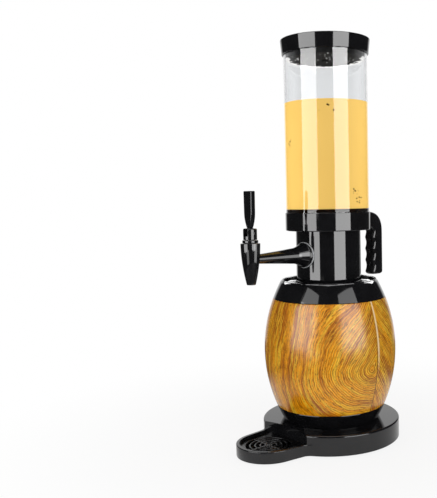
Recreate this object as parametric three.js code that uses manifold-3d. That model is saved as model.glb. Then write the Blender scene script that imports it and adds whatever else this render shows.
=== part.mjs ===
// Beer tower dispenser: a clear column on a barrel shaped stand, with a tap, a drip tray and a handle.
// Millimetres, +Z up. The origin is on the tower's axis at table level. The tap and the tray point to
// -Y and the handle points to +Y.

import * as THREE from 'three';
import { mergeVertices } from 'three/addons/utils/BufferGeometryUtils.js';
import Module from 'manifold-3d';

const wasm = await Module();
wasm.setup();

// Overall sizes
const overallHeight = 580;
const baseLength = 265;
const lidDiameter = 130;

// Fits and cutting
const fitGap = 0.3;
const runningGap = 0.5;
const overrun = 2;
const weldDistance = 0.0001;
const outlineTolerance = 0.01;

// Facets round a full turn
const largeSides = 28;
const mediumSides = 16;
const smallSides = 8;
const slotSides = 24;
const ringSides = 5;
const cornerSteps = 2;
const filletSides = 16;
const mitreLimit = 4;
const bendSteps = 6;
const sectionCornerSteps = 3;
const tongueArcSteps = 12;

// Base: a moulded disc with a tray tongue, open underneath and closed by a plate
const discRadius = 101;
const discTop = 30;
const discEdgeRadius = 2.5;
const shellWall = 2.5;
const tongueRadius = 44.5;
const tongueTop = 18;
const tongueFlareDegrees = 6;
const tongueFilletRadius = 14;
const tongueRootShare = 0.35;
const tongueEdge = 1;
const trayDistance = baseLength - discRadius - tongueRadius;
const footHeight = 1.5;
const footRadius = 8;
const padRadius = 16;
const plateThickness = 3.6;
const plateTop = footHeight + plateThickness;

// Drip tray recess and its grill
const trayRimWidth = 4.5;
const panFloorTop = 8;
const panWall = 2.5;
const recessBackReach = 38.5;
const backArcDepth = trayDistance - recessBackReach;
const backArcRadius = 135;
const backArcDistance = backArcDepth + backArcRadius;
const grillPlate = 3;
const grillSink = 4.5;
const grillTop = tongueTop - grillSink;
const grillLegRadius = 2.2;
const grillRingRadii = [33, 25.6, 18.4, 11, 4.4];
const grillRibWidth = 3;
const grillSpokes = 4;
const grillSpokeWidth = 3.2;
const grillCentreRibRadius = 2.2;

// Screws that hold the base plate
const baseScrewInset = 19;
const baseScrewCircle = discRadius - baseScrewInset;
const baseScrewCount = 4;
const baseScrewStartDegrees = 45;
const screwShankRadius = 1.5;
const screwHeadRadius = 3;
const screwHeadHeight = 1.8;
const screwBossRadius = 4.2;
const baseScrewLength = 12;

// Barrel: three turned shells stacked on one bulging outline
const barrelHeight = 205;
const barrelTop = discTop + barrelHeight;
const barrelWaistRadius = 96.8;
const barrelWaistShare = 0.5;
const barrelWaistHeight = discTop + barrelHeight * barrelWaistShare;
const barrelRimRadius = 70.2;
const rimRise = barrelTop - barrelWaistHeight;
const rimDrop = barrelWaistRadius - barrelRimRadius;
const barrelBulgeRadius = (rimRise ** 2 + rimDrop ** 2) / (2 * rimDrop);
const footRingHeight = 21;
const footRingTop = discTop + footRingHeight;
const capHeight = 27;
const sleeveTop = barrelTop - capHeight;
const mouldedWall = 3;
const sleeveWall = 4;
const lipHeight = 5;
const lipThickness = 2.5;
const barrelArcSteps = 8;

// Dish and socket in the barrel's cap
const rimWidth = 3;
const dishDepth = 8;
const dishSlope = 4.5;
const dishSlopeSoftening = 1.5;
const socketDepth = 40;
const socketFloor = barrelTop - socketDepth;

// Tie bolt through the barrel
const boltRadius = 4;
const boltHeadRadius = 7.5;
const boltHeadHeight = 5.3;
const boltEndPastNut = 3;
const nutHeight = 6.5;
const tieWasherRadius = 9;
const washerThickness = 1.2;
const hexSides = 6;

// Seat ring that the column stands and turns on
const seatRingHeight = 4.4;
const seatRingWidth = 8;

// Neck and collar
const neckRadius = 47.5;
const neckWall = 3;
const neckFlangeThickness = 4;
const neckFlangeBore = 30;
const neckBottom = socketFloor + fitGap + seatRingHeight + fitGap;
const collarRadius = 62.2;
const neckRise = 72;
const collarBottom = barrelTop + neckRise;
const collarHeight = 26;
const collarTop = collarBottom + collarHeight;
const collarPlate = 8;
const collarEdge = 1;
const neckSeatDepth = 3;
const ledgeHeight = collarBottom + collarPlate;

// Clear tube
const tubeRadius = 60.7;
const tubeWall = 3;
const tubeBore = tubeRadius - tubeWall;
const tubeBottom = ledgeHeight + fitGap;

// Reservoir floor inside the tube
const floorRimRise = 4.5;
const floorRimTop = collarTop + floorRimRise;
const floorRimWidth = 3;
const floorSink = 3;
const floorThickness = 3;
const outletRadius = 5;
const spigotRadius = 7;
const spigotReach = 11;
const spigotBottom = collarBottom - spigotReach;
const plugWall = 4;

// Seal rings and their grooves
const sealSection = 1.15;
const grooveDepth = 2;
const grooveHeight = 3;
const tubeSealDepth = 5;
const tubeSealHeight = collarTop - tubeSealDepth;

// Screws that hold the collar, the neck and the reservoir floor together
const columnScrewCircle = 38;
const columnScrewCount = 3;
const columnScrewStartDegrees = 90;
const columnScrewLength = 14;

// Lid: a cap, a plug that reaches into the tube, and a seal
const lidRadius = lidDiameter / 2;
const lidSkirtRadius = 62.9;
const lidSkirtHeight = 20.5;
const lidSkirtBottom = overallHeight - lidSkirtHeight;
const lidPlate = 3;
const tubeTop = overallHeight - lidPlate - fitGap;
const lidEdgeRadius = 1.6;
const lidRibHeight = 5;
const plugHeight = 21.7;
const plugBottom = tubeTop - plugHeight;
const plugFloor = 2.5;
const ventRadius = 2;
const ventBossRadius = 5;
const ventBossHeight = 2.5;
const lidSealDepth = 9.2;
const lidSealHeight = tubeTop - lidSealDepth;

// Tap body: a bullet shaped barrel on a trumpet arm
const tapDistance = 142;
const armRise = 37.8;
const armHeight = barrelTop + armRise;
const flangeRadius = 17.8;
const flangeEdge = 1.6;
const flareLength = 20;
const flarePower = 1.7;
const armRootRadius = 11;
const armTipRadius = 5.7;
const shankRadius = 7.5;
const shankBore = 4;
const shankReach = 12;
const tapTopRise = 22.2;
const tapTop = armHeight + tapTopRise;
const tapTopRadius = 13.4;
const spoutRadius = 6.2;
const spoutDrop = 34.1;
const spoutBottom = armHeight - spoutDrop;
const spoutBore = 4.2;
const valveSeatDrop = 14.8;
const valveSeatHeight = armHeight - valveSeatDrop;
const valveSeatRadius = 3.4;
const tapBore = 5.6;
const tapArcSteps = 8;
const tapTaperPower = 1.85;
const flareSteps = 5;
const flangeSealThickness = 1.3;
const flangeSealOverhang = 0.7;

// Inside end of the tap: washer, nut and hose
const washerFaceDistance = 40;
const shankWasherRadius = 13;
const shankNutRadius = 12;
const shankNutWidth = 5;
const hoseWall = 2;
const hoseOverlap = 8;
const hoseBendRadius = 18;
const hoseSteps = 10;

// Bonnet, lever and plunger
const ringRadius = 10.75;
const ringHeight = 4.2;
const ringTop = tapTop + ringHeight;
const ringSpigotRadius = 8;
const ringSpigotDepth = 6;
const bonnetRadius = 9.35;
const bonnetHeight = 15.6;
const bonnetTop = ringTop + bonnetHeight;
const bonnetCornerRadius = 3.6;
const bonnetBore = 5.6;
const bonnetSlotWidth = 10.4;
const leverPivotDepth = 6.8;
const leverPivotHeight = bonnetTop - leverPivotDepth;
const knuckleRadius = 4;
const leverPinRadius = 1.2;
const leverNeckRadius = 3.6;
const leverLength = 56.7;
const leverTop = leverPivotHeight + leverLength;
const leverWidth = 16.9;
const leverThickness = 7.2;
const leverEdge = 1.2;
const leverWaistRise = 1.2;
const leverWaistHeight = bonnetTop + leverWaistRise;
const leverWaistWidth = 9;
const leverWaistThickness = 7;
const leverShoulderRise = 23;
const leverShoulderHeight = leverPivotHeight + leverShoulderRise;
const leverShoulderShare = 0.93;
const stemRadius = 1.6;
const stemHeadRadius = 3.2;
const stemTopGap = 3.5;
const stemTop = leverPivotHeight - knuckleRadius - stemTopGap;
const plungerSealRadius = 4.7;
const plungerSealHeight = 4;

// Handle: one moulding with finger grooves, hooked into the collar
const handleOuter = 108.5;
const handleWidth = 20;
const handleRound = 6;
const handleTopStep = 1.5;
const handleTop = collarTop - handleTopStep;
const gripCrest = 83.6;
const gripFirstCrestDrop = 15.2;
const gripFirstCrest = collarBottom - gripFirstCrestDrop;
const gripEndDrop = 4.5;
const gripGrooveDepth = 2.8;
const gripGroovePitch = 17.7;
const gripGrooveCount = 3;
const gripLastCrest = gripFirstCrest - gripGrooveCount * gripGroovePitch;
const handleBottom = gripLastCrest - gripEndDrop;
const gripGrooveSteps = 5;
const armThroatRadius = 8;
const bendSquareness = 2.5;
const handleTongueWidth = 14;
const handleTongueThickness = 3.6;
const handleTongueDepth = 12;
const handleScrewSpacing = 8;

// Places that follow from the sizes above
const tongueFlare = THREE.MathUtils.degToRad(tongueFlareDegrees);
const sleeveFootRadius = barrelRadiusAt(footRingTop);
const sleeveHeadRadius = barrelRadiusAt(sleeveTop);
const socketRadius = neckRadius + runningGap;
const plugRadius = tubeBore - runningGap;
const grooveRadius = plugRadius - grooveDepth;
const sealCentreRadius = (grooveRadius + tubeBore) / 2;
const hoseBore = (spigotRadius + fitGap) / Math.cos(Math.PI / smallSides);
const hoseRadius = hoseBore + hoseWall;
const hoseEnd = washerFaceDistance - fitGap - shankNutWidth - fitGap;
const flangeBack = neckRadius + fitGap + flangeSealThickness + fitGap;

// Finishes
const blackGloss = { color: 0x141416, roughness: 0.12, metalness: 0 };
const blackSatin = { color: 0x37373a, roughness: 0.38, metalness: 0 };
const blackRubber = { color: 0x1c1c1c, roughness: 0.85, metalness: 0 };
const sealGrey = { color: 0xb9bbbd, roughness: 0.4, metalness: 0 };
const steel = { color: 0xc4c6c8, roughness: 0.28, metalness: 1 };
const honeyWood = { color: 0xd29a35, roughness: 0.3, metalness: 0 };
const clearPlastic = { color: 0xf4f7f8, roughness: 0.04, metalness: 0, transparent: true, opacity: 0.3 };
const milkySilicone = { color: 0xe2e2de, roughness: 0.5, metalness: 0 };

// Solid helpers

// Welds a geometry and turns it into a solid that can be cut and joined.
function toSolid(geometry) {
  const bare = geometry.clone();
  bare.deleteAttribute('normal');
  bare.deleteAttribute('uv');
  const welded = mergeVertices(bare, weldDistance);
  const corners = welded.index.array;
  const kept = [];
  for (let i = 0; i < corners.length; i += 3) {
    const [a, b, c] = corners.slice(i, i + 3);
    if (a !== b && b !== c && c !== a) kept.push(a, b, c);
  }
  const mesh = new wasm.Mesh({
    numProp: 3,
    vertProperties: new Float32Array(welded.attributes.position.array),
    triVerts: new Uint32Array(kept),
  });
  return new wasm.Manifold(mesh);
}

// Turns a solid back into a geometry.
function toGeometry(solid) {
  const mesh = solid.getMesh();
  const geometry = new THREE.BufferGeometry();
  geometry.setAttribute('position', new THREE.BufferAttribute(mesh.vertProperties, 3));
  geometry.setIndex(new THREE.BufferAttribute(mesh.triVerts, 1));
  geometry.computeVertexNormals();
  return geometry;
}

function join(...solids) {
  return solids.reduce((whole, solid) => whole.add(solid));
}

function cut(solid, ...tools) {
  return tools.reduce((rest, tool) => rest.subtract(tool), solid);
}

// Area of a closed profile, positive when its points run anticlockwise.
function profileArea(points) {
  return points.reduce((sum, [r, z], i) => {
    const [nextR, nextZ] = points[(i + 1) % points.length];
    return sum + (r * nextZ - nextR * z) / 2;
  }, 0);
}

// Revolves a closed profile of [radius, height] points about Z.
function revolve(points, sides = largeSides) {
  const ordered = profileArea(points) > 0 ? points : [...points].reverse();
  const profile = [...ordered, ordered[0]].map(([r, z]) => new THREE.Vector2(r, z));
  const geometry = new THREE.LatheGeometry(profile, sides);
  geometry.rotateX(Math.PI / 2);
  return toSolid(geometry);
}

// Points of an arc about a centre, from one angle to another.
function arcPoints(x, y, radius, from, to, steps) {
  return Array.from({ length: steps + 1 }, (_, i) => {
    const angle = from + ((to - from) * i) / steps;
    return new THREE.Vector2(x + radius * Math.cos(angle), y + radius * Math.sin(angle));
  });
}

// Extrudes a shape along Z from one height to another.
function extrudeUp(shape, bottom, top) {
  const depth = top - bottom;
  const geometry = new THREE.ExtrudeGeometry(shape, { depth, bevelEnabled: false });
  geometry.translate(0, 0, bottom);
  return toSolid(geometry);
}

// A round bar along Z, centred on x, y.
function post(radius, bottom, top, x = 0, y = 0, sides = smallSides) {
  const geometry = new THREE.CylinderGeometry(radius, radius, top - bottom, sides);
  geometry.rotateX(Math.PI / 2);
  geometry.translate(x, y, (top + bottom) / 2);
  return toSolid(geometry);
}

// A round bar along -Y at the height of the tap's arm, from one distance to another.
function armBar(radius, near, far, sides = mediumSides) {
  const geometry = new THREE.CylinderGeometry(radius, radius, far - near, sides);
  geometry.translate(0, -(near + far) / 2, armHeight);
  return toSolid(geometry);
}

function block(width, depth, bottom, top, x = 0, y = 0) {
  const geometry = new THREE.BoxGeometry(width, depth, top - bottom);
  geometry.translate(x, y, (top + bottom) / 2);
  return toSolid(geometry);
}

// Points of a quarter round from one angle to another, for a profile.
function roundCorner(centreR, centreZ, radius, fromDegrees, toDegrees, steps = cornerSteps) {
  const from = THREE.MathUtils.degToRad(fromDegrees);
  const to = THREE.MathUtils.degToRad(toDegrees);
  return Array.from({ length: steps + 1 }, (_, i) => {
    const angle = from + ((to - from) * i) / steps;
    return [centreR + radius * Math.cos(angle), centreZ + radius * Math.sin(angle)];
  });
}

// Centres of copies spread evenly on a circle.
function ringPlaces(count, radius, startDegrees) {
  return Array.from({ length: count }, (_, i) => {
    const angle = THREE.MathUtils.degToRad(startDegrees) + (2 * Math.PI * i) / count;
    return [radius * Math.cos(angle), radius * Math.sin(angle)];
  });
}

// Moves a solid that stands on the tower's axis to the tap's axis.
function atTap(solid) {
  return solid.translate([0, -tapDistance, 0]);
}

const group = new THREE.Group();

function addPiece(name, solid, finish) {
  const mesh = new THREE.Mesh(toGeometry(solid), new THREE.MeshStandardMaterial(finish));
  mesh.name = name;
  group.add(mesh);
}

// Base

// Corners of the disc, on the same facets as a revolved disc.
function discPoints(radius) {
  const from = -Math.PI / 2;
  return arcPoints(0, 0, radius, from, from + 2 * Math.PI, largeSides).slice(1);
}

// The tongue with its flaring flanks, from its round end back to its root under the disc.
function tonguePoints(radius) {
  const end = arcPoints(0, -trayDistance, radius, Math.PI + tongueFlare, 2 * Math.PI - tongueFlare, tongueArcSteps);
  const rootY = -discRadius * tongueRootShare;
  const rootX = (radius + (trayDistance + rootY) * Math.sin(tongueFlare)) / Math.cos(tongueFlare);
  return [...end, new THREE.Vector2(rootX, rootY), new THREE.Vector2(-rootX, rootY)];
}

function toSection(points) {
  return new wasm.CrossSection([points.map(({ x, y }) => [x, y])]);
}

// Outline of disc and tongue, filleted in the corners between them, moved in by an inset.
function baseOutline(inset) {
  const fillet = tongueFilletRadius + inset;
  const whole = toSection(discPoints(discRadius - inset)).add(toSection(tonguePoints(tongueRadius - inset)));
  const filleted = whole.offset(fillet, 'Miter', mitreLimit).offset(-fillet, 'Round', mitreLimit, filletSides);
  const [outline] = filleted.simplify(outlineTolerance).toPolygons();
  return new THREE.Shape(outline.map(([x, y]) => new THREE.Vector2(x, y)));
}

// The big upright cylinder whose wall is the recess's shallow back arc.
function backArc(extra, bottom, top) {
  return post(backArcRadius + extra, bottom, top, 0, -backArcDistance, 2 * largeSides);
}

function traySpace(inset, bottom, top) {
  return extrudeUp(baseOutline(trayRimWidth + inset), bottom, top).intersect(backArc(-inset, bottom, top));
}

function baseBody() {
  const tongue = new THREE.ExtrudeGeometry(baseOutline(0), {
    depth: tongueTop - footHeight - 2 * tongueEdge,
    bevelThickness: tongueEdge,
    bevelSize: tongueEdge,
    bevelOffset: -tongueEdge,
    bevelSegments: 1,
  });
  tongue.translate(0, 0, footHeight + tongueEdge);
  const edge = roundCorner(discRadius - discEdgeRadius, discTop - discEdgeRadius, discEdgeRadius, 0, 90);
  const disc = revolve([[0, footHeight + tongueEdge], [discRadius, footHeight + tongueEdge], ...edge, [0, discTop]]);
  return join(toSolid(tongue), disc);
}

function baseHollow() {
  const tongueCeiling = tongueTop - shellWall;
  const low = extrudeUp(baseOutline(shellWall), footHeight - overrun, tongueCeiling);
  const high = post(discRadius - shellWall, footHeight - overrun, discTop - shellWall, 0, 0, largeSides);
  return join(low, high);
}

function baseShell() {
  const body = baseBody();
  const pan = traySpace(-panWall, panFloorTop - panWall, discTop).intersect(body);
  const recess = traySpace(0, panFloorTop, discTop + overrun);
  const stepDown = backArc(0, tongueTop, discTop + overrun);
  const bossBottom = plateTop + fitGap;
  const bossTop = discTop - shellWall / 2;
  const bosses = baseScrewPlaces().map(([x, y]) => post(screwBossRadius, bossBottom, bossTop, x, y));
  const holeTop = plateTop + baseScrewLength;
  const holes = baseScrewPlaces().map(([x, y]) => (
    post(screwShankRadius + fitGap, footHeight, holeTop, x, y)
  ));
  const boltHole = post(boltRadius + fitGap, discTop - shellWall - overrun, discTop + overrun);
  return cut(join(body.subtract(baseHollow()), pan, ...bosses), recess, stepDown, boltHole, ...holes);
}

function baseScrewPlaces() {
  return ringPlaces(baseScrewCount, baseScrewCircle, baseScrewStartDegrees);
}

// The plate that closes the base, with a stepped hole for each screw.
function basePlate() {
  const plate = extrudeUp(baseOutline(shellWall + fitGap), footHeight, plateTop);
  const headSpaceTop = footHeight + fitGap + screwHeadHeight + fitGap;
  const holes = baseScrewPlaces().flatMap(([x, y]) => [
    post(screwHeadRadius + fitGap, footHeight - overrun, headSpaceTop, x, y),
    post(screwShankRadius + fitGap, footHeight - overrun, plateTop + overrun, x, y),
  ]);
  return cut(plate, ...holes);
}

// A pan head screw with its head down at a given height.
function screw(x, y, headBottom, length) {
  const headTop = headBottom + screwHeadHeight;
  return revolve([
    [0, headBottom],
    [screwHeadRadius, headBottom],
    [screwHeadRadius, headTop],
    [screwShankRadius, headTop],
    [screwShankRadius, headTop + length],
    [0, headTop + length],
  ], smallSides).translate([x, y, 0]);
}

function rubberFoot(radius, x, y) {
  return post(radius, 0, footHeight - fitGap, x, y, mediumSides);
}

function dripGrill() {
  const bottom = grillTop - grillPlate;
  const plate = traySpace(fitGap, bottom, grillTop);
  const slots = grillRingRadii.slice(0, -1).map((outer, i) => {
    const inner = grillRingRadii[i + 1];
    return ringSlot(outer - grillRibWidth / 2, inner + grillRibWidth / 2, bottom);
  });
  const centreHole = post(grillCentreRibRadius, bottom - overrun, grillTop + overrun, 0, -trayDistance);
  const legCircle = grillRingRadii[0];
  const legs = ringPlaces(grillSpokes, legCircle, 0).map(([x, y]) => (
    post(grillLegRadius, panFloorTop + fitGap, bottom + grillPlate / 2, x, y - trayDistance, smallSides)
  ));
  return join(cut(plate, ...slots, centreHole), ...legs);
}

// A round slot between two ribs of the grill, crossed by spokes.
function ringSlot(outer, inner, bottom) {
  const ring = flatRing(outer, inner, bottom - overrun, grillTop + overrun, slotSides);
  const spokes = Array.from({ length: grillSpokes / 2 }, (_, i) => (
    block(2 * (outer + overrun), grillSpokeWidth, bottom - 2 * overrun, grillTop + 2 * overrun)
      .rotate([0, 0, (360 * i) / grillSpokes])
  ));
  return cut(ring, ...spokes).translate([0, -trayDistance, 0]);
}

// Barrel

function barrelRadiusAt(height) {
  const rise = height - barrelWaistHeight;
  return barrelWaistRadius - barrelBulgeRadius + Math.sqrt(barrelBulgeRadius ** 2 - rise ** 2);
}

// Points on the barrel's bulge, moved in by a wall.
function bulge(from, to, wall, steps) {
  return Array.from({ length: steps + 1 }, (_, i) => {
    const height = from + ((to - from) * i) / steps;
    return [barrelRadiusAt(height) - wall, height];
  });
}

function barrelFootRing() {
  const bottom = discTop + fitGap;
  const lipOuter = sleeveFootRadius - sleeveWall - fitGap;
  const lipInner = lipOuter - lipThickness;
  const floorTop = bottom + mouldedWall;
  return revolve([
    [boltRadius + fitGap, bottom],
    ...bulge(bottom, footRingTop, 0, cornerSteps),
    [lipOuter, footRingTop],
    [lipOuter, footRingTop + lipHeight],
    [lipInner, footRingTop + lipHeight],
    [lipInner, footRingTop - mouldedWall],
    [barrelRadiusAt(floorTop) - mouldedWall, floorTop],
    [boltRadius + fitGap, floorTop],
  ]);
}

function barrelSleeve() {
  const bottom = footRingTop + fitGap;
  const outer = bulge(bottom, sleeveTop, 0, barrelArcSteps);
  const inner = bulge(bottom, sleeveTop, sleeveWall, barrelArcSteps / 2);
  return revolve([...outer, ...inner.reverse()]);
}

function barrelTopCap() {
  const bottom = sleeveTop + fitGap;
  const lipOuter = sleeveHeadRadius - sleeveWall - runningGap;
  const lipInner = lipOuter - lipThickness;
  const dishFloor = barrelTop - dishDepth;
  const rimInner = barrelRimRadius - rimWidth;
  const rim = roundCorner(barrelRimRadius - rimWidth / 2, barrelTop - rimWidth / 2, rimWidth / 2, 0, 180, cornerSteps + 1);
  return revolve([
    [boltRadius + fitGap, socketFloor],
    [socketRadius, socketFloor],
    [socketRadius, dishFloor],
    [rimInner - dishSlope, dishFloor],
    [rimInner - dishSlopeSoftening, dishFloor + dishSlopeSoftening],
    ...rim.reverse(),
    ...bulge(bottom, barrelTop - rimWidth, 0, cornerSteps + 1).reverse(),
    [lipOuter, bottom],
    [lipOuter, bottom - lipHeight],
    [lipInner, bottom - lipHeight],
    [lipInner, bottom + lipHeight],
    [rimInner - dishSlope, dishFloor - mouldedWall],
    [socketRadius + mouldedWall, dishFloor - mouldedWall],
    [socketRadius + mouldedWall, socketFloor - mouldedWall],
    [boltRadius + fitGap, socketFloor - mouldedWall],
  ]);
}

function tieBolt() {
  const headTop = discTop - shellWall - fitGap;
  const tip = socketFloor + fitGap + washerThickness + fitGap + nutHeight + boltEndPastNut;
  const head = post(boltHeadRadius, headTop - boltHeadHeight, headTop, 0, 0, hexSides);
  const shank = post(boltRadius, headTop - boltHeadHeight / 2, tip);
  return join(head, shank);
}

function flatRing(outer, inner, bottom, top, sides) {
  return revolve([[inner, bottom], [outer, bottom], [outer, top], [inner, top]], sides);
}

function tieWasher() {
  const bottom = socketFloor + fitGap;
  return flatRing(tieWasherRadius, boltRadius + fitGap, bottom, bottom + washerThickness, smallSides);
}

function tieNut() {
  const bottom = socketFloor + fitGap + washerThickness + fitGap;
  const body = post(boltHeadRadius, bottom, bottom + nutHeight, 0, 0, hexSides);
  return cut(body, post(boltRadius + fitGap, bottom - overrun, bottom + nutHeight + overrun));
}

function seatRing() {
  const bottom = socketFloor + fitGap;
  const outer = neckRadius - fitGap;
  return flatRing(outer, outer - seatRingWidth, bottom, bottom + seatRingHeight, largeSides);
}

// Column

function neck() {
  const top = collarBottom + neckSeatDepth - fitGap;
  const inner = neckRadius - neckWall;
  const wall = revolve([
    [inner, neckBottom],
    [neckRadius, neckBottom],
    [neckRadius, top],
    [neckFlangeBore, top],
    [neckFlangeBore, top - neckFlangeThickness],
    [inner, top - neckFlangeThickness],
  ]);
  const shankHole = armBar(shankRadius + fitGap, inner - overrun, neckRadius + overrun);
  return cut(wall, shankHole, ...columnScrewHoles(top - neckFlangeThickness - overrun, top + overrun));
}

function columnScrewPlaces() {
  return ringPlaces(columnScrewCount, columnScrewCircle, columnScrewStartDegrees);
}

function columnScrewHoles(bottom, top) {
  return columnScrewPlaces().map(([x, y]) => post(screwShankRadius + fitGap, bottom, top, x, y));
}

function columnScrewHeadBottom() {
  return collarBottom + neckSeatDepth - fitGap - neckFlangeThickness - fitGap - screwHeadHeight;
}

function collar() {
  const seat = collarBottom + neckSeatDepth;
  const wallInner = tubeRadius + fitGap;
  const body = revolve([
    [neckFlangeBore, seat],
    [neckRadius + fitGap, seat],
    [neckRadius + fitGap, collarBottom],
    [collarRadius - collarEdge, collarBottom],
    [collarRadius, collarBottom + collarEdge],
    [collarRadius, collarTop - collarEdge / 2],
    [collarRadius - collarEdge / 2, collarTop],
    [wallInner, collarTop],
    [wallInner, ledgeHeight],
    [neckFlangeBore, ledgeHeight],
  ]);
  const pocket = block(
    handleTongueWidth + 2 * fitGap,
    handleTongueDepth + fitGap + overrun,
    handleTongueBottom() - fitGap,
    handleTongueBottom() + handleTongueThickness + fitGap,
    0,
    collarRadius + overrun - (handleTongueDepth + fitGap + overrun) / 2,
  );
  const screwHoles = handleScrewPlaces().map(([x, y]) => (
    post(screwShankRadius + fitGap, collarBottom - overrun, handleTongueBottom(), x, y)
  ));
  return cut(body, pocket, ...screwHoles, ...columnScrewHoles(seat - overrun, ledgeHeight + overrun));
}

function clearTube() {
  return flatRing(tubeRadius, tubeBore, tubeBottom, tubeTop, largeSides);
}

// Points of a seal groove in a plug's wall, from the bottom up.
function grooveStep(centre) {
  const half = grooveHeight / 2;
  return [
    [plugRadius, centre - half],
    [grooveRadius, centre - half],
    [grooveRadius, centre + half],
    [plugRadius, centre + half],
  ];
}

function reservoirFloor() {
  const bottom = ledgeHeight + fitGap;
  const rimInner = plugRadius - floorRimWidth;
  const outletTop = floorRimTop - floorSink;
  const wallInner = plugRadius - plugWall;
  const dish = revolve([
    [outletRadius, spigotBottom],
    [spigotRadius, spigotBottom],
    [spigotRadius, outletTop - floorSink - floorThickness],
    [wallInner, floorRimTop - floorSink - floorThickness],
    [wallInner, bottom],
    [plugRadius, bottom],
    ...grooveStep(tubeSealHeight),
    [plugRadius, floorRimTop],
    [rimInner, floorRimTop],
    [rimInner, outletTop],
    [outletRadius, outletTop - floorSink],
  ]);
  const bossTop = outletTop - floorSink;
  const bosses = columnScrewPlaces().map(([x, y]) => post(screwBossRadius, bottom, bossTop, x, y));
  const holeTop = columnScrewHeadBottom() + screwHeadHeight + columnScrewLength + fitGap;
  const holes = columnScrewHoles(bottom - overrun, holeTop);
  return cut(join(dish, ...bosses), ...holes);
}

function sealRing(height) {
  const profile = roundCorner(sealCentreRadius, height, sealSection, 0, 360, ringSides);
  return revolve(profile.slice(0, -1));
}

function lidCap() {
  const underside = overallHeight - lidPlate;
  const skirtInner = tubeRadius + runningGap;
  const ribOuter = plugRadius - plugWall - runningGap;
  const edge = roundCorner(lidRadius - lidEdgeRadius, overallHeight - lidEdgeRadius, lidEdgeRadius, 0, 90);
  return revolve([
    [ventRadius, underside],
    [ribOuter - lipThickness, underside],
    [ribOuter - lipThickness, underside - lidRibHeight],
    [ribOuter, underside - lidRibHeight],
    [ribOuter, underside],
    [skirtInner, underside],
    [skirtInner, lidSkirtBottom],
    [lidSkirtRadius, lidSkirtBottom],
    ...edge,
    [ventRadius, overallHeight],
  ]);
}

function lidPlug() {
  const top = overallHeight - lidPlate - fitGap;
  const wallInner = plugRadius - plugWall;
  return revolve([
    [ventRadius, plugBottom - ventBossHeight],
    [ventBossRadius, plugBottom - ventBossHeight],
    [ventBossRadius, plugBottom],
    [plugRadius, plugBottom],
    ...grooveStep(lidSealHeight),
    [plugRadius, top],
    [wallInner, top],
    [wallInner, plugBottom + plugFloor],
    [ventRadius, plugBottom + plugFloor],
  ]);
}

// Tap

// An upright cylinder on the tower's axis, tall enough to trim anything round the tap's arm.
function neckCylinder(radius) {
  return post(radius, armHeight - 2 * flangeRadius, armHeight + 2 * flangeRadius, 0, 0, 2 * largeSides);
}

function armProfile() {
  const start = neckRadius - neckWall;
  const flareEnd = flangeBack + flareLength;
  const flare = Array.from({ length: flareSteps }, (_, i) => {
    const along = (i + 1) / flareSteps;
    const drop = 1 - (1 - along) ** flarePower;
    const radius = flangeRadius - flangeEdge / 2 - (flangeRadius - flangeEdge / 2 - armRootRadius) * drop;
    return [radius, flangeBack + flangeEdge + (flareLength - flangeEdge) * along];
  });
  return [
    [0, start],
    [flangeRadius, start],
    [flangeRadius, flangeBack + flangeEdge / 2],
    [flangeRadius - flangeEdge / 2, flangeBack + flangeEdge],
    ...flare,
    [armTipRadius + (armRootRadius - armTipRadius) / 2, (flareEnd + tapDistance) / 2],
    [armTipRadius, tapDistance],
    [0, tapDistance],
  ];
}

// Lays a solid that was revolved about Z along -Y at the arm's height.
function layAlongArm(solid) {
  return solid.rotate([90, 0, 0]).translate([0, 0, armHeight]);
}

function bulletProfile() {
  const outer = Array.from({ length: tapArcSteps + 1 }, (_, i) => {
    const down = i / tapArcSteps;
    const radius = tapTopRadius - (tapTopRadius - spoutRadius) * down ** tapTaperPower;
    return [radius, tapTop - (tapTop - spoutBottom) * down];
  });
  return [[0, tapTop], ...outer, [0, spoutBottom]];
}

function tapBodyPiece() {
  const arm = layAlongArm(revolve(armProfile(), mediumSides));
  const bullet = atTap(revolve(bulletProfile(), mediumSides));
  const topBoreBottom = tapTop - ringSpigotDepth - fitGap;
  const topBore = post(ringSpigotRadius + fitGap, topBoreBottom, tapTop + overrun, 0, 0, mediumSides);
  const flowBore = post(tapBore, valveSeatHeight, tapTop, 0, 0, mediumSides);
  const seatBore = post(valveSeatRadius, spoutBottom, valveSeatHeight + overrun);
  const spoutMouth = post(spoutBore, spoutBottom - overrun, valveSeatHeight - 2 * overrun);
  const socketLength = flangeBack + shankReach + fitGap;
  const shankSocket = armBar(shankRadius + fitGap, neckRadius - neckWall - overrun, socketLength);
  const armBore = armBar(shankBore, flangeBack, tapDistance, smallSides);
  const bores = [topBore, flowBore, seatBore, spoutMouth].map(atTap);
  return cut(join(arm, bullet), neckCylinder(flangeBack), ...bores, shankSocket, armBore);
}

function flangeSeal() {
  const outer = neckRadius + fitGap + flangeSealThickness;
  const disc = armBar(flangeRadius + flangeSealOverhang, neckRadius - neckWall - flangeRadius, outer + overrun);
  const sheet = neckCylinder(outer).subtract(neckCylinder(neckRadius + fitGap));
  const hole = armBar(shankRadius + fitGap, neckRadius - neckWall - flangeRadius - overrun, outer + 2 * overrun);
  return disc.intersect(sheet).subtract(hole);
}

function tapShank() {
  const inner = hoseEnd - hoseOverlap;
  const outer = flangeBack + shankReach;
  const thread = armBar(shankRadius, hoseEnd + fitGap, outer);
  const barb = armBar(spigotRadius, inner, hoseEnd + overrun);
  return cut(join(thread, barb), armBar(shankBore, inner - overrun, outer + overrun, smallSides));
}

function shankWasher() {
  const disc = armBar(shankWasherRadius, washerFaceDistance, neckRadius);
  const trimmed = disc.intersect(neckCylinder(neckRadius - neckWall - fitGap));
  return trimmed.subtract(armBar(shankRadius + fitGap, washerFaceDistance - overrun, neckRadius + overrun));
}

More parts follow.
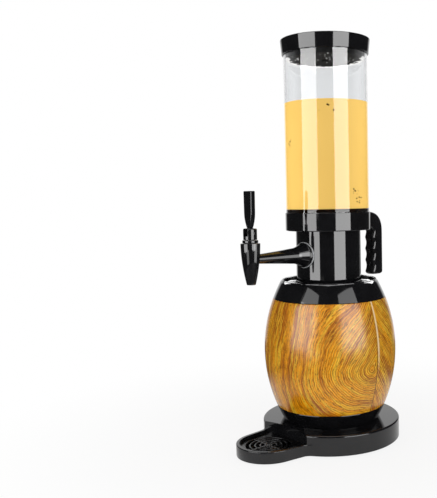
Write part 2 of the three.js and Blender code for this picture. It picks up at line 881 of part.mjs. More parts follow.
function shankNut() {
  const near = hoseEnd + fitGap;
  const far = near + shankNutWidth;
  const body = armBar(shankNutRadius, near, far, hexSides);
  return cut(body, armBar(shankRadius + fitGap, near - overrun, far + overrun));
}

function outletHose() {
  const start = spigotBottom + hoseOverlap;
  const path = new THREE.CurvePath();
  const bendTop = new THREE.Vector3(0, 0, armHeight + hoseBendRadius);
  const bendMiddle = new THREE.Vector3(0, 0, armHeight);
  const bendEnd = new THREE.Vector3(0, -hoseBendRadius, armHeight);
  path.add(new THREE.LineCurve3(new THREE.Vector3(0, 0, start), bendTop));
  path.add(new THREE.QuadraticBezierCurve3(bendTop, bendMiddle, bendEnd));
  path.add(new THREE.LineCurve3(bendEnd, new THREE.Vector3(0, -hoseEnd, armHeight)));
  const section = new THREE.Shape(arcPoints(0, 0, hoseRadius, 0, 2 * Math.PI, smallSides).slice(1));
  section.holes.push(new THREE.Path(arcPoints(0, 0, hoseBore, 0, 2 * Math.PI, smallSides).slice(1)));
  const settings = { steps: hoseSteps, extrudePath: path, bevelEnabled: false };
  return toSolid(new THREE.ExtrudeGeometry(section, settings));
}

function bonnetRing() {
  const bottom = tapTop + fitGap;
  const guide = stemRadius + fitGap;
  const innerSpigot = bonnetBore - fitGap;
  return atTap(revolve([
    [guide, tapTop - ringSpigotDepth],
    [ringSpigotRadius, tapTop - ringSpigotDepth],
    [ringSpigotRadius, bottom],
    [ringRadius, bottom],
    [ringRadius, ringTop],
    [innerSpigot, ringTop],
    [innerSpigot, ringTop + fitGap + stemHeadRadius / 2],
    [guide, ringTop + fitGap + stemHeadRadius / 2],
  ], mediumSides));
}

function bonnet() {
  const bottom = ringTop + fitGap;
  const round = roundCorner(
    bonnetRadius - bonnetCornerRadius,
    bonnetTop - bonnetCornerRadius,
    bonnetCornerRadius,
    0,
    90,
  );
  const cap = revolve([
    [bonnetBore, bottom],
    [bonnetRadius, bottom],
    ...round,
    [bonnetBore, bonnetTop],
  ], mediumSides);
  const slotDepth = bonnetRadius + overrun;
  const slotBottom = leverPivotHeight - leverNeckRadius;
  const slot = block(bonnetSlotWidth, slotDepth, slotBottom, bonnetTop + overrun, 0, -slotDepth / 2);
  const pinHole = crossPin(leverPinRadius + fitGap / 2, 2 * bonnetRadius + overrun);
  return atTap(cut(cap, slot, pinHole));
}

// A pin along X through the lever's pivot, on the tower's axis until it is moved to the tap.
function crossPin(radius, length) {
  const geometry = new THREE.CylinderGeometry(radius, radius, length, smallSides);
  geometry.rotateZ(Math.PI / 2);
  geometry.translate(0, 0, leverPivotHeight);
  return toSolid(geometry);
}

function leverPin() {
  return atTap(crossPin(leverPinRadius, 2 * (bonnetRadius - fitGap)));
}

// Points of a rectangle with rounded corners, anticlockwise.
function roundedSection(width, thickness, corner) {
  const quarters = [[1, 1], [-1, 1], [-1, -1], [1, -1]];
  return quarters.flatMap(([sideX, sideY], quarter) => {
    const x = sideX * (width / 2 - corner);
    const y = sideY * (thickness / 2 - corner);
    const from = (quarter * Math.PI) / 2;
    return arcPoints(x, y, corner, from, from + Math.PI / 2, sectionCornerSteps);
  });
}

// One section of the lever as a ring of points at a height.
function leverSection(width, thickness, height, corner) {
  return roundedSection(width, thickness, corner).map((point) => new THREE.Vector3(point.x, point.y, height));
}

// Skins a stack of rings that have equal counts, and closes both ends.
function loft(rings) {
  const count = rings[0].length;
  const points = rings.flat();
  const faces = [];
  for (let level = 0; level < rings.length - 1; level += 1) {
    for (let i = 0; i < count; i += 1) {
      const next = (i + 1) % count;
      const low = level * count;
      const high = low + count;
      faces.push(low + i, low + next, high + next, low + i, high + next, high + i);
    }
  }
  const last = (rings.length - 1) * count;
  for (let i = 1; i < count - 1; i += 1) {
    faces.push(0, i + 1, i, last, last + i, last + i + 1);
  }
  const geometry = new THREE.BufferGeometry().setFromPoints(points);
  geometry.setIndex(enclosedVolume(points, faces) > 0 ? faces : faces.reverse());
  return toSolid(geometry);
}

// Volume inside a closed skin, positive when its faces point out.
function enclosedVolume(points, faces) {
  let volume = 0;
  for (let i = 0; i < faces.length; i += 3) {
    const [a, b, c] = faces.slice(i, i + 3).map((corner) => points[corner]);
    volume += a.dot(b.clone().cross(c)) / 6;
  }
  return volume;
}

function lever() {
  const shoulderWidth = leverWidth * leverShoulderShare;
  const neckWidth = 2 * leverNeckRadius;
  const midWidth = (leverWaistWidth + shoulderWidth) / 2;
  const midHeight = (leverWaistHeight + leverShoulderHeight) / 2;
  const paddle = loft([
    leverSection(neckWidth, neckWidth, leverPivotHeight + knuckleRadius / 2, leverNeckRadius - weldDistance),
    leverSection(neckWidth, neckWidth, bonnetTop, leverNeckRadius - weldDistance),
    leverSection(leverWaistWidth, leverWaistThickness, leverWaistHeight, 2 * leverEdge),
    leverSection(midWidth, leverThickness, midHeight, leverEdge),
    leverSection(shoulderWidth, leverThickness, leverShoulderHeight, leverEdge),
    leverSection(leverWidth, leverThickness, leverTop - leverEdge, leverEdge),
    leverSection(leverWidth - leverEdge, leverThickness - leverEdge, leverTop, leverEdge),
  ]);
  const knuckle = crossPin(knuckleRadius, 2 * leverNeckRadius);
  const hole = crossPin(leverPinRadius + fitGap, bonnetSlotWidth + overrun);
  return atTap(join(paddle, knuckle).subtract(hole));
}

function plungerStem() {
  const foot = valveSeatHeight + fitGap + plungerSealHeight + fitGap;
  return atTap(revolve([
    [0, foot],
    [stemHeadRadius, foot],
    [stemHeadRadius, foot + stemHeadRadius / 2],
    [stemRadius, foot + stemHeadRadius],
    [stemRadius, stemTop],
    [0, stemTop],
  ], smallSides));
}

function plungerSeal() {
  const bottom = valveSeatHeight + fitGap;
  return atTap(revolve([
    [0, bottom],
    [valveSeatRadius, bottom],
    [plungerSealRadius, bottom + (plungerSealRadius - valveSeatRadius)],
    [plungerSealRadius, bottom + plungerSealHeight],
    [0, bottom + plungerSealHeight],
  ], mediumSides));
}

// Handle

function handleTongueBottom() {
  return collarBottom + (collarPlate - handleTongueThickness) / 2;
}

function handleScrewPlaces() {
  const y = collarRadius - handleTongueDepth / 2;
  return [-handleScrewSpacing / 2, handleScrewSpacing / 2].map((x) => [x, y]);
}

// One section of the handle, set across the stretch between an inner and an outer point in [y, z].
function handleRing(inner, outer, width, corner) {
  const middle = new THREE.Vector2().addVectors(inner, outer).multiplyScalar(1 / 2);
  const out = new THREE.Vector2().subVectors(outer, inner);
  const thickness = out.length();
  out.normalize();
  return roundedSection(width, thickness, corner).map(({ x: across, y: along }) => (
    new THREE.Vector3(across, middle.x + out.x * along, middle.y + out.y * along)
  ));
}

// Sections of the arm and of the bend, which turns about the centre of the throat.
function armRings() {
  const throat = new THREE.Vector2(gripCrest + gripGrooveDepth - armThroatRadius, collarBottom - armThroatRadius);
  const topReach = handleTop - throat.y;
  const sideReach = handleOuter - throat.x;
  const start = handleRing(
    new THREE.Vector2(neckRadius, collarBottom),
    new THREE.Vector2(neckRadius, handleTop),
    handleWidth,
    handleRound,
  );
  const bend = Array.from({ length: bendSteps + 1 }, (_, i) => {
    const angle = (Math.PI / 2) * (1 - i / bendSteps);
    const out = new THREE.Vector2(Math.cos(angle), Math.sin(angle));
    const across = (Math.abs(out.x) / sideReach) ** bendSquareness;
    const upward = (Math.abs(out.y) / topReach) ** bendSquareness;
    const reach = (across + upward) ** (-1 / bendSquareness);
    const inner = throat.clone().addScaledVector(out, armThroatRadius);
    return handleRing(inner, throat.clone().addScaledVector(out, reach), handleWidth, handleRound);
  });
  return [start, ...bend];
}

// Sections of the grip: finger grooves with round bottoms and crests between them, from the top down.
function gripRings() {
  return Array.from({ length: gripGrooveCount * gripGrooveSteps + 1 }, (_, i) => {
    const along = i / gripGrooveSteps;
    const height = gripFirstCrest - gripGroovePitch * along;
    const hollow = gripGrooveDepth * Math.abs(Math.sin(Math.PI * along));
    const inner = new THREE.Vector2(gripCrest + hollow, height);
    return handleRing(inner, new THREE.Vector2(handleOuter, height), handleWidth, handleRound);
  });
}

// Sections of the grip's rounded lower end.
function endRings() {
  return Array.from({ length: cornerSteps + 1 }, (_, i) => {
    const angle = ((i + 1) / (cornerSteps + 1)) * (Math.PI / 2);
    const height = gripLastCrest - gripEndDrop * Math.sin(angle);
    const shrink = handleRound * (1 - Math.cos(angle));
    const inner = new THREE.Vector2(gripCrest + shrink, height);
    const outer = new THREE.Vector2(handleOuter - shrink, height);
    return handleRing(inner, outer, handleWidth - 2 * shrink, handleRound - shrink / 2);
  });
}

function handle() {
  const grip = loft([...armRings(), ...gripRings(), ...endRings()]);
  const tongueBottom = handleTongueBottom();
  const tongueLength = handleTongueDepth + handleRound;
  const tongue = block(
    handleTongueWidth,
    tongueLength,
    tongueBottom,
    tongueBottom + handleTongueThickness,
    0,
    collarRadius - handleTongueDepth + tongueLength / 2,
  );
  const seat = post(collarRadius + fitGap, handleBottom, overallHeight, 0, 0, largeSides);
  const holes = handleScrewPlaces().map(([x, y]) => (
    post(screwShankRadius + fitGap, tongueBottom - overrun, tongueBottom + handleTongueThickness + overrun, x, y)
  ));
  return cut(join(grip.subtract(seat), tongue), ...holes);
}

// Assembly

addPiece('base_shell', baseShell(), blackSatin);
addPiece('base_plate', basePlate(), blackSatin);
addPiece('center_pad', rubberFoot(padRadius, 0, 0), blackRubber);
const footCircle = discRadius - 2 * footRadius;
addPiece('foot_right', rubberFoot(footRadius, footCircle, 0), blackRubber);
addPiece('foot_back', rubberFoot(footRadius, 0, footCircle), blackRubber);
addPiece('foot_left', rubberFoot(footRadius, -footCircle, 0), blackRubber);
addPiece('tray_foot', rubberFoot(footRadius, 0, -trayDistance - footRadius), blackRubber);
baseScrewPlaces().forEach(([x, y], i) => {
  addPiece(`base_screw_${i + 1}`, screw(x, y, footHeight + fitGap, baseScrewLength), steel);
});
addPiece('drip_grill', dripGrill(), blackSatin);
addPiece('barrel_foot_ring', barrelFootRing(), blackGloss);
addPiece('barrel_sleeve', barrelSleeve(), honeyWood);
addPiece('barrel_top_cap', barrelTopCap(), blackGloss);
addPiece('tie_bolt', tieBolt(), steel);
addPiece('tie_washer', tieWasher(), steel);
addPiece('tie_nut', tieNut(), steel);
addPiece('seat_ring', seatRing(), milkySilicone);
addPiece('neck', neck(), blackGloss);
addPiece('collar', collar(), blackGloss);
columnScrewPlaces().forEach(([x, y], i) => {
  addPiece(`column_screw_${i + 1}`, screw(x, y, columnScrewHeadBottom(), columnScrewLength), steel);
});
addPiece('reservoir_floor', reservoirFloor(), blackGloss);
addPiece('tube_seal', sealRing(tubeSealHeight), blackRubber);
addPiece('tube', clearTube(), clearPlastic);
addPiece('outlet_hose', outletHose(), milkySilicone);
addPiece('handle', handle(), blackSatin);
handleScrewPlaces().forEach(([x, y], i) => {
  const headBottom = collarBottom - fitGap - screwHeadHeight;
  const length = collarPlate / 2 + handleTongueThickness / 2;
  addPiece(`handle_screw_${i + 1}`, screw(x, y, headBottom, length), steel);
});
addPiece('lid_cap', lidCap(), blackGloss);
addPiece('lid_plug', lidPlug(), blackGloss);
addPiece('lid_seal', sealRing(lidSealHeight), blackRubber);
addPiece('tap_body', tapBodyPiece(), blackGloss);
addPiece('flange_seal', flangeSeal(), sealGrey);
addPiece('tap_shank', tapShank(), steel);
addPiece('shank_washer', shankWasher(), blackRubber);
addPiece('shank_nut', shankNut(), steel);
addPiece('bonnet_ring', bonnetRing(), blackGloss);
addPiece('bonnet', bonnet(), blackGloss);
addPiece('lever', lever(), blackGloss);
addPiece('lever_pin', leverPin(), steel);
addPiece('plunger_stem', plungerStem(), steel);
addPiece('plunger_seal', plungerSeal(), blackRubber);

export default group;
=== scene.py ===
"""Beer tower dispenser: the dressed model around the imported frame.

Metres, +Z up, origin on the tower's axis at table level. The tap and the tray point to -Y, the handle to +Y.
"""
from __future__ import annotations

import logging
import math
from dataclasses import dataclass, field
from enum import Enum, IntEnum
from typing import Any, Callable, Sequence

import bmesh
import bpy
from bpy.types import ID, Material, Mesh, Node, NodeSocket, NodeTree, Object
from mathutils import Matrix, Vector


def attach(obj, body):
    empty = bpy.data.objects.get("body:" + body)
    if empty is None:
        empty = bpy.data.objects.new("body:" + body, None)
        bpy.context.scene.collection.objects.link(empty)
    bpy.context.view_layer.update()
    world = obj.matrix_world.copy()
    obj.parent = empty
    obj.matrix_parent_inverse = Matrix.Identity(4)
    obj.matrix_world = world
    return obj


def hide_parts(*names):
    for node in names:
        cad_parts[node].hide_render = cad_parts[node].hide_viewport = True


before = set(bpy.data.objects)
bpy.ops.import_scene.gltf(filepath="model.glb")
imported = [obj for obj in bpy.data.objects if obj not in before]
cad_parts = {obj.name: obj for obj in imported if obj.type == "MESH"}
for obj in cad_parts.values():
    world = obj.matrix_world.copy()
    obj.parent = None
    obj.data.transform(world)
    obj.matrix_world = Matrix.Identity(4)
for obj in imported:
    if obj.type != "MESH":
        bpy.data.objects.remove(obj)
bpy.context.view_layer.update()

log = logging.getLogger("beer_tower")

OVERRUN = 0.001
SUPPORT = 0.0003
MOST_OF_EDGE = 0.49
STRAIGHT = math.radians(178)
SHARP_DEGREES = 32.0
BLENDED_SHARP_DEGREES = 40.0
WELD = 1e-6
SLIVER = 1e-7
EDGE_MIDDLE = 0.3
RIB_ROUNDING = 0.46
CLUMP_CORE = 0.98
NOISE_RANGE = (0.3, 0.7)
PLASTIC_IOR = 1.5

Point = tuple[float, float]
Colour = tuple[int, int, int]
Inputs = dict[Any, Any]


class Sides(IntEnum):
    """Facets round a turned form."""

    HOLE = 24
    LEG = 32
    SCREW = 40
    BOLT = 48
    TAP = 96
    ROUND = 128
    TUBE = 160
    DISC = 192
    DRUM = 256


class Body(str, Enum):
    """Bodies of the frame that pieces ride on."""

    BASE = "base"
    GRILL = "grill"
    COLUMN = "column"
    LID = "lid"
    LEVER = "lever"


class Slot(str, Enum):
    """Material slots of the record."""

    GLOSS_BLACK = "gloss_black"
    SATIN_BLACK = "satin_black"
    RUBBER_BLACK = "rubber_black"
    SEAL_GREY = "seal_grey"
    STEEL = "steel"
    HONEY_WOOD = "honey_wood"
    CLEAR_PLASTIC = "clear_plastic"
    MILKY_SILICONE = "milky_silicone"


class Carving(str, Enum):
    """What carve does with a tool."""

    JOIN = "UNION"
    CUT = "DIFFERENCE"
    TRIM = "INTERSECT"


class Axis(str, Enum):
    """Axes that a form is laid down about."""

    X = "X"
    Y = "Y"


# Profiles


@dataclass(frozen=True)
class Corner:
    """A corner of a profile, with the radius of its rounding."""

    r: float
    z: float
    fillet: float = 0.0
    steps: int = 4


def arc(centre: Point, radius: float, start: float, end: float, steps: int) -> list[Point]:
    """Points of an arc in degrees."""
    angles = (math.radians(start + (end - start) * i / steps) for i in range(steps + 1))
    return [(centre[0] + radius * math.cos(a), centre[1] + radius * math.sin(a)) for a in angles]


def soften(corners: Sequence[Corner]) -> list[Point]:
    """Rounds the corners of a closed profile and holds its flats with support points.

    Args:
        corners: Corners in order round the profile.

    Returns:
        Points of the rounded profile.
    """
    points: list[Point] = []
    for i, corner in enumerate(corners):
        here = Vector((corner.r, corner.z))
        last_corner, next_corner = corners[i - 1], corners[(i + 1) % len(corners)]
        before = Vector((last_corner.r, last_corner.z)) - here
        after = Vector((next_corner.r, next_corner.z)) - here
        turn = before.angle(after, math.pi)
        if corner.fillet <= 0.0 or turn > STRAIGHT:
            points.append((here.x, here.y))
            continue
        reach = min(corner.fillet / math.tan(turn / 2), MOST_OF_EDGE * before.length, MOST_OF_EDGE * after.length)
        radius = reach * math.tan(turn / 2)
        first = here + before.normalized() * reach
        last = here + after.normalized() * reach
        middle = here + (before.normalized() + after.normalized()).normalized() * (radius / math.sin(turn / 2))
        sweep = math.pi - turn
        lead = first - middle
        sign = 1.0 if lead.x * (last - middle).y - lead.y * (last - middle).x > 0 else -1.0
        if before.length > 2 * (reach + SUPPORT):
            held = here + before.normalized() * (reach + SUPPORT)
            points.append((held.x, held.y))
        for step in range(corner.steps + 1):
            spot = middle + Matrix.Rotation(sign * sweep * step / corner.steps, 2) @ lead
            points.append((spot.x, spot.y))
        if after.length > 2 * (reach + SUPPORT):
            held = here + after.normalized() * (reach + SUPPORT)
            points.append((held.x, held.y))
    return points


# Shells


@dataclass
class Shell:
    """A closed skin of points and faces that pieces are made from."""

    points: list[Vector] = field(default_factory=list)
    faces: list[tuple[int, ...]] = field(default_factory=list)

    def volume(self) -> float:
        """Signed volume inside the skin."""
        total = 0.0
        for face in self.faces:
            first = self.points[face[0]]
            for i in range(1, len(face) - 1):
                total += first.dot(self.points[face[i]].cross(self.points[face[i + 1]])) / 6
        return total

    def outward(self) -> Shell:
        """The same skin with its faces pointing out."""
        if self.volume() < 0:
            self.faces = [tuple(reversed(face)) for face in self.faces]
        return self

    def moved(self, matrix: Matrix) -> Shell:
        """A copy of the skin moved by a matrix."""
        return Shell([matrix @ point for point in self.points], list(self.faces)).outward()

    def joined(self, *others: Shell) -> Shell:
        """One shell that holds this one and others.

        Args:
            others: Shells to add.

        Returns:
            The sum of the shells.
        """
        whole = Shell(list(self.points), list(self.faces))
        for other in others:
            base = len(whole.points)
            whole.points += other.points
            whole.faces += [tuple(i + base for i in face) for face in other.faces]
        return whole

    def mesh(self, name: str) -> Mesh:
        """The skin as a mesh.

        Args:
            name: Name of the mesh.

        Returns:
            The new mesh.
        """
        mesh = bpy.data.meshes.new(name)
        mesh.from_pydata([tuple(point) for point in self.points], [], self.faces)
        mesh.update()
        return mesh


def lathe(profile: Sequence[Point], sides: int = Sides.ROUND, start: float = 0.0) -> Shell:
    """Turns a closed profile of (radius, height) points about Z.

    Args:
        profile: Points of the profile, in order.
        sides: Facets round a full turn.
        start: Angle of the first column of points, in radians.

    Returns:
        The turned shell.
    """
    shell = Shell()
    rows: list[list[int]] = []
    for r, z in profile:
        if r < SLIVER:
            shell.points.append(Vector((0, 0, z)))
            rows.append([len(shell.points) - 1])
            continue
        row = []
        for i in range(sides):
            angle = start + math.tau * i / sides
            shell.points.append(Vector((r * math.cos(angle), r * math.sin(angle), z)))
            row.append(len(shell.points) - 1)
        rows.append(row)
    for i, low in enumerate(rows):
        high = rows[(i + 1) % len(rows)]
        if len(low) == 1 and len(high) == 1:
            continue
        for j in range(sides):
            k = (j + 1) % sides
            if len(low) == 1:
                shell.faces.append((low[0], high[k], high[j]))
            elif len(high) == 1:
                shell.faces.append((low[j], low[k], high[0]))
            else:
                shell.faces.append((low[j], low[k], high[k], high[j]))
    return shell.outward()


def loft(rings: Sequence[Sequence[Vector]]) -> Shell:
    """Skins rings that have equal counts and closes both ends.

    Args:
        rings: Rings of points in order.

    Returns:
        The closed shell.
    """
    count = len(rings[0])
    shell = Shell([Vector(point) for ring in rings for point in ring])
    for level in range(len(rings) - 1):
        for i in range(count):
            k = (i + 1) % count
            low, high = level * count, (level + 1) * count
            shell.faces.append((low + i, low + k, high + k, high + i))
    shell.faces.append(tuple(reversed(range(count))))
    last = (len(rings) - 1) * count
    shell.faces.append(tuple(range(last, last + count)))
    return shell.outward()


def stack(outline: Callable[[float], list[Point]], levels: Sequence[tuple[float, float]]) -> Shell:
    """Lofts an outline upwards through levels."""
    return loft([[Vector((x, y, z)) for x, y in outline(inset)] for inset, z in levels])


def prism(section: Sequence[Point], bottom: float, top: float) -> Shell:
    """An upright bar of even section."""
    return stack(lambda _: list(section), ((0, bottom), (0, top)))


def drum(inner: float, outer: float, bottom: float, top: float, sides: int = Sides.DRUM) -> Shell:
    """An upright cylinder, or a pipe where its inner radius isn't zero."""
    return lathe([(inner, bottom), (outer, bottom), (outer, top), (inner, top)], sides)


def laid(height: float, axis: Axis) -> Matrix:
    """Turns a form that stands on the origin on its side and lifts it."""
    return Matrix.Translation((0, 0, height)) @ Matrix.Rotation(math.radians(90), 4, axis.value)


def rounded_box(width: float, depth: float, corner: float, steps: int) -> list[Point]:
    """Outline of a rectangle with round corners.

    Args:
        width: Size along the first axis.
        depth: Size along the second axis.
        corner: Radius of the corners.
        steps: Stretches in each corner.

    Returns:
        Points of the outline, anticlockwise.
    """
    points: list[Point] = []
    for quarter, (side_x, side_y) in enumerate(((1, 1), (-1, 1), (-1, -1), (1, -1))):
        centre = (side_x * (width / 2 - corner), side_y * (depth / 2 - corner))
        points += arc(centre, corner, 90 * quarter, 90 * quarter + 90, steps)
    return points


# Pieces


def finish_mesh(mesh: Mesh, sharp: float = SHARP_DEGREES) -> None:
    """Welds a mesh and shades it smooth with sharp edges above an angle.

    Args:
        mesh: The mesh to finish.
        sharp: Angle in degrees.
    """
    work = bmesh.new()
    work.from_mesh(mesh)
    bmesh.ops.remove_doubles(work, verts=work.verts, dist=WELD)
    bmesh.ops.dissolve_degenerate(work, dist=SLIVER, edges=work.edges)
    work.to_mesh(mesh)
    work.free()
    for face in mesh.polygons:
        face.use_smooth = True
    mesh.set_sharp_from_angle(angle=math.radians(sharp))


def add_object(name: str, data: ID) -> Object:
    """Puts a mesh, a lamp or a camera in the scene.

    Args:
        name: Name of the object.
        data: Its mesh, lamp or camera.

    Returns:
        The new object.
    """
    thing = bpy.data.objects.new(name, data)
    bpy.context.scene.collection.objects.link(thing)
    return thing


def discard(*helpers: Object) -> None:
    """Removes helper objects with their meshes.

    Args:
        helpers: The objects.
    """
    for helper in helpers:
        mesh = helper.data
        bpy.data.objects.remove(helper)
        bpy.data.meshes.remove(mesh)


def baked(thing: Object, name: str) -> Mesh:
    """The mesh that an object has after its modifiers.

    Args:
        thing: The object.
        name: Name of the new mesh.

    Returns:
        A plain mesh.
    """
    graph = bpy.context.evaluated_depsgraph_get()
    graph.update()
    mesh = bpy.data.meshes.new_from_object(thing.evaluated_get(graph))
    mesh.name = name
    return mesh


def carve(shell: Shell, *steps: tuple[Carving, Shell]) -> Shell:
    """Joins, cuts or trims a shell with others.

    Args:
        shell: The shell to start from.
        steps: Pairs of what is done and the shell that does it.

    Returns:
        The resulting shell.
    """
    target = add_object("carving", shell.mesh("carving"))
    helpers = []
    for carving, tool in steps:
        helper = add_object("carving_tool", tool.mesh("carving_tool"))
        helpers.append(helper)
        step = target.modifiers.new("step", "BOOLEAN")
        step.operation = carving.value
        step.solver = "EXACT"
        step.object = helper
    mesh = baked(target, "carved")
    result = Shell([vertex.co.copy() for vertex in mesh.vertices], [tuple(face.vertices) for face in mesh.polygons])
    discard(target, *helpers)
    bpy.data.meshes.remove(mesh)
    return result


@dataclass
class Workshop:
    """Makes finished pieces and keeps them by name."""

    finishes: dict[Slot, Material] = field(default_factory=dict)
    pieces: dict[str, Object] = field(default_factory=dict)

    def piece(
        self,
        name: str,
        shape: Shell | Mesh,
        body: Body,
        slot: Slot | None,
        replaces: Sequence[str] = (),
        material: Material | None = None,
        sharp: float = SHARP_DEGREES,
    ) -> None:
        """Adds one finished piece to the scene.

        Args:
            name: Name of the piece.
            shape: Its shell or its mesh.
            body: The body it rides on.
            slot: The record's slot, if it has one.
            replaces: Nodes that it stands for.
            material: Material, when it isn't the slot's own.
            sharp: Angle in degrees above which an edge stays sharp.
        """
        mesh = shape.mesh(name) if isinstance(shape, Shell) else shape
        finish_mesh(mesh, sharp)
        thing = add_object(name, mesh)
        mesh.materials.clear()
        mesh.materials.append(material or self.finishes[slot])
        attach(thing, body.value)
        if replaces:
            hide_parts(*replaces)
        self.pieces[name] = thing
        log.info("%s: %d faces on %s", name, len(mesh.polygons), body.value)

    def dress(self, node: str, slot: Slot) -> None:
        """Gives a node of the frame its material.

        Args:
            node: Name of the node.
            slot: Slot of the material.
        """
        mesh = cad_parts[node].data
        mesh.materials.clear()
        mesh.materials.append(self.finishes[slot])
        log.info("%s keeps its solid", node)


# Node trees


class Tree:
    """Adds nodes to a node tree."""

    def __init__(self, tree: NodeTree) -> None:
        """Keeps the tree."""
        self.tree = tree

    def node(self, kind: str, sockets: Inputs | None = None, settings: Inputs | None = None) -> Node:
        """Adds one node.

        Args:
            kind: Type of the node.
            sockets: Values or links of its inputs, by name or number.
            settings: Attributes, which are set first.

        Returns:
            The new node.
        """
        new = self.tree.nodes.new(kind)
        for key, value in (settings or {}).items():
            setattr(new, key, value)
        for key, value in (sockets or {}).items():
            self.feed(new.inputs[key], value)
        return new

    def signal(
        self, kind: str, output: int | str = 0, sockets: Inputs | None = None, settings: Inputs | None = None
    ) -> Signal:
        """Adds one node and wraps an output of it."""
        return Signal(self, self.node(kind, sockets, settings).outputs[output])

    def feed(self, socket: NodeSocket, value: Any) -> None:
        """Links or sets one input.

        Args:
            socket: The input.
            value: A wrapped socket, a socket or a plain value.
        """
        if isinstance(value, Signal):
            value = value.socket
        if isinstance(value, NodeSocket):
            self.tree.links.new(value, socket)
        else:
            socket.default_value = value


class Signal:
    """An output of a node, with arithmetic on numbers that adds Math nodes."""

    def __init__(self, tree: Tree, socket: NodeSocket) -> None:
        """Keeps the socket."""
        self.tree = tree
        self.socket = socket

    def math(self, operation: str, *others: Any) -> Signal:
        """Result of a Math node on this number."""
        return self.tree.signal("ShaderNodeMath", 0, dict(enumerate((self, *others))), {"operation": operation})

    def before(self, operation: str, other: Any) -> Signal:
        """Result of a Math node that takes the other operand first."""
        return self.tree.signal("ShaderNodeMath", 0, {0: other, 1: self}, {"operation": operation})

    def __add__(self, other: Any) -> Signal:
        """Sum."""
        return self.math("ADD", other)

    __radd__ = __add__

    def __mul__(self, other: Any) -> Signal:
        """Product."""
        return self.math("MULTIPLY", other)

    __rmul__ = __mul__

    def __sub__(self, other: Any) -> Signal:
        """Difference."""
        return self.math("SUBTRACT", other)

    def __rsub__(self, other: Any) -> Signal:
        """Difference with this number last."""
        return self.before("SUBTRACT", other)

    def __truediv__(self, other: Any) -> Signal:
        """Quotient."""
        return self.math("DIVIDE", other)

    def __rtruediv__(self, other: Any) -> Signal:
        """Quotient with this number below."""
        return self.before("DIVIDE", other)

    def ramp(self, low: float, high: float, out_low: float = 0.0, out_high: float = 1.0) -> Signal:
        """This number mapped smoothly from one range to another."""
        sockets = {"Value": self, "From Min": low, "From Max": high, "To Min": out_low, "To Max": out_high}
        return self.tree.signal("ShaderNodeMapRange", 0, sockets, {"interpolation_type": "SMOOTHSTEP"})


def srgb(red: int, green: int, blue: int) -> tuple[float, float, float, float]:
    """A colour as the renderer wants it.

    Args:
        red: Red from 0 to 255.
        green: Green from 0 to 255.
        blue: Blue from 0 to 255.

    Returns:
        Linear red, green, blue and one.
    """
    def linear(channel: int) -> float:
        """One channel as linear light, by the sRGB curve."""
        share = channel / 255
        return share / 12.92 if share <= 0.04045 else ((share + 0.055) / 1.055) ** 2.4

    return (linear(red), linear(green), linear(blue), 1.0)


class Coating:
    """A material under construction, with its principled shader."""

    def __init__(self, name: str) -> None:
        """Starts a material.

        Args:
            name: Name of the material.
        """
        self.material = bpy.data.materials.new(name)
        self.material.use_nodes = True
        self.material.node_tree.nodes.clear()
        self.tree = Tree(self.material.node_tree)
        self.shader = self.tree.node("ShaderNodeBsdfPrincipled")
        self.output = self.tree.node("ShaderNodeOutputMaterial", {"Surface": self.shader.outputs[0]})

    def set(self, **values: Any) -> None:
        """Sets inputs of the principled shader, by name with underscores for blanks."""
        for name, value in values.items():
            self.tree.feed(self.shader.inputs[name.replace("_", " ")], value)

    def place(self, scale: tuple[float, float, float] = (1, 1, 1)) -> NodeSocket:
        """Object coordinates, scaled."""
        place = self.tree.node("ShaderNodeTexCoord").outputs["Object"]
        return self.tree.node("ShaderNodeMapping", {"Vector": place, "Scale": scale}).outputs[0]

    def noise(self, vector: Any, scale: float, detail: float = 3.0, roughness: float = 0.5) -> Signal:
        """A noise between 0 and 1."""
        sockets = {"Vector": vector, "Scale": scale, "Detail": detail, "Roughness": roughness}
        return self.tree.signal("ShaderNodeTexNoise", "Fac", sockets)

    def blend(self, factor: Any, first: Any, second: Any) -> NodeSocket:
        """A mix of two colours, by the share of the second."""
        return self.tree.node("ShaderNodeMix", {0: factor, 6: first, 7: second}, {"data_type": "RGBA"}).outputs[2]

    def shades(self, factor: Any, colour: Colour, first: int, second: int) -> NodeSocket:
        """A mix of two shades of a colour, each given as what is added to its channels."""
        pair = (srgb(*(min(255, channel + change) for channel in colour)) for change in (first, second))
        return self.blend(factor, *pair)

    def cover(self, share: Any, shader: NodeSocket) -> None:
        """Mixes another shader in, up to the material's surface."""
        mixed = self.tree.node("ShaderNodeMixShader", {0: share, 1: self.shader.outputs[0], 2: shader})
        self.tree.feed(self.output.inputs["Surface"], mixed.outputs[0])

    def bump(self, height: Any, strength: float, distance: float) -> None:
        """Gives the surface a fine relief."""
        sockets = {"Height": height, "Strength": strength, "Distance": distance}
        self.set(Normal=self.tree.node("ShaderNodeBump", sockets).outputs[0])


# Finishes


@dataclass(frozen=True)
class GlossPlastic:
    """Polished black moulding with faint waviness and fine marks."""

    name: str = "gloss_black_plastic"
    colour: Colour = (17, 17, 19)
    roughness: float = 0.04
    specular: float = 0.76
    haze_scale: float = 60.0
    marks_stretch: tuple[float, float, float] = (900, 900, 60)
    wave_scale: float = 16.0
    wave_height: float = 0.0002

    def build(self) -> Material:
        """Makes the material."""
        coat = Coating(self.name)
        place = coat.place()
        haze = coat.noise(place, self.haze_scale, 4)
        marks = coat.noise(coat.place(self.marks_stretch), 1, 2)
        rough = haze.ramp(0.35, 0.7, self.roughness, self.roughness * 1.7) + marks.ramp(0.66, 0.8, 0.0, 0.02)
        coat.set(Base_Color=coat.shades(haze.ramp(*NOISE_RANGE), self.colour, 0, 5), Roughness=rough, IOR=PLASTIC_IOR)
        coat.set(Specular_IOR_Level=self.specular)
        coat.bump(coat.noise(place, self.wave_scale, 2), 0.12, self.wave_height)
        return coat.material


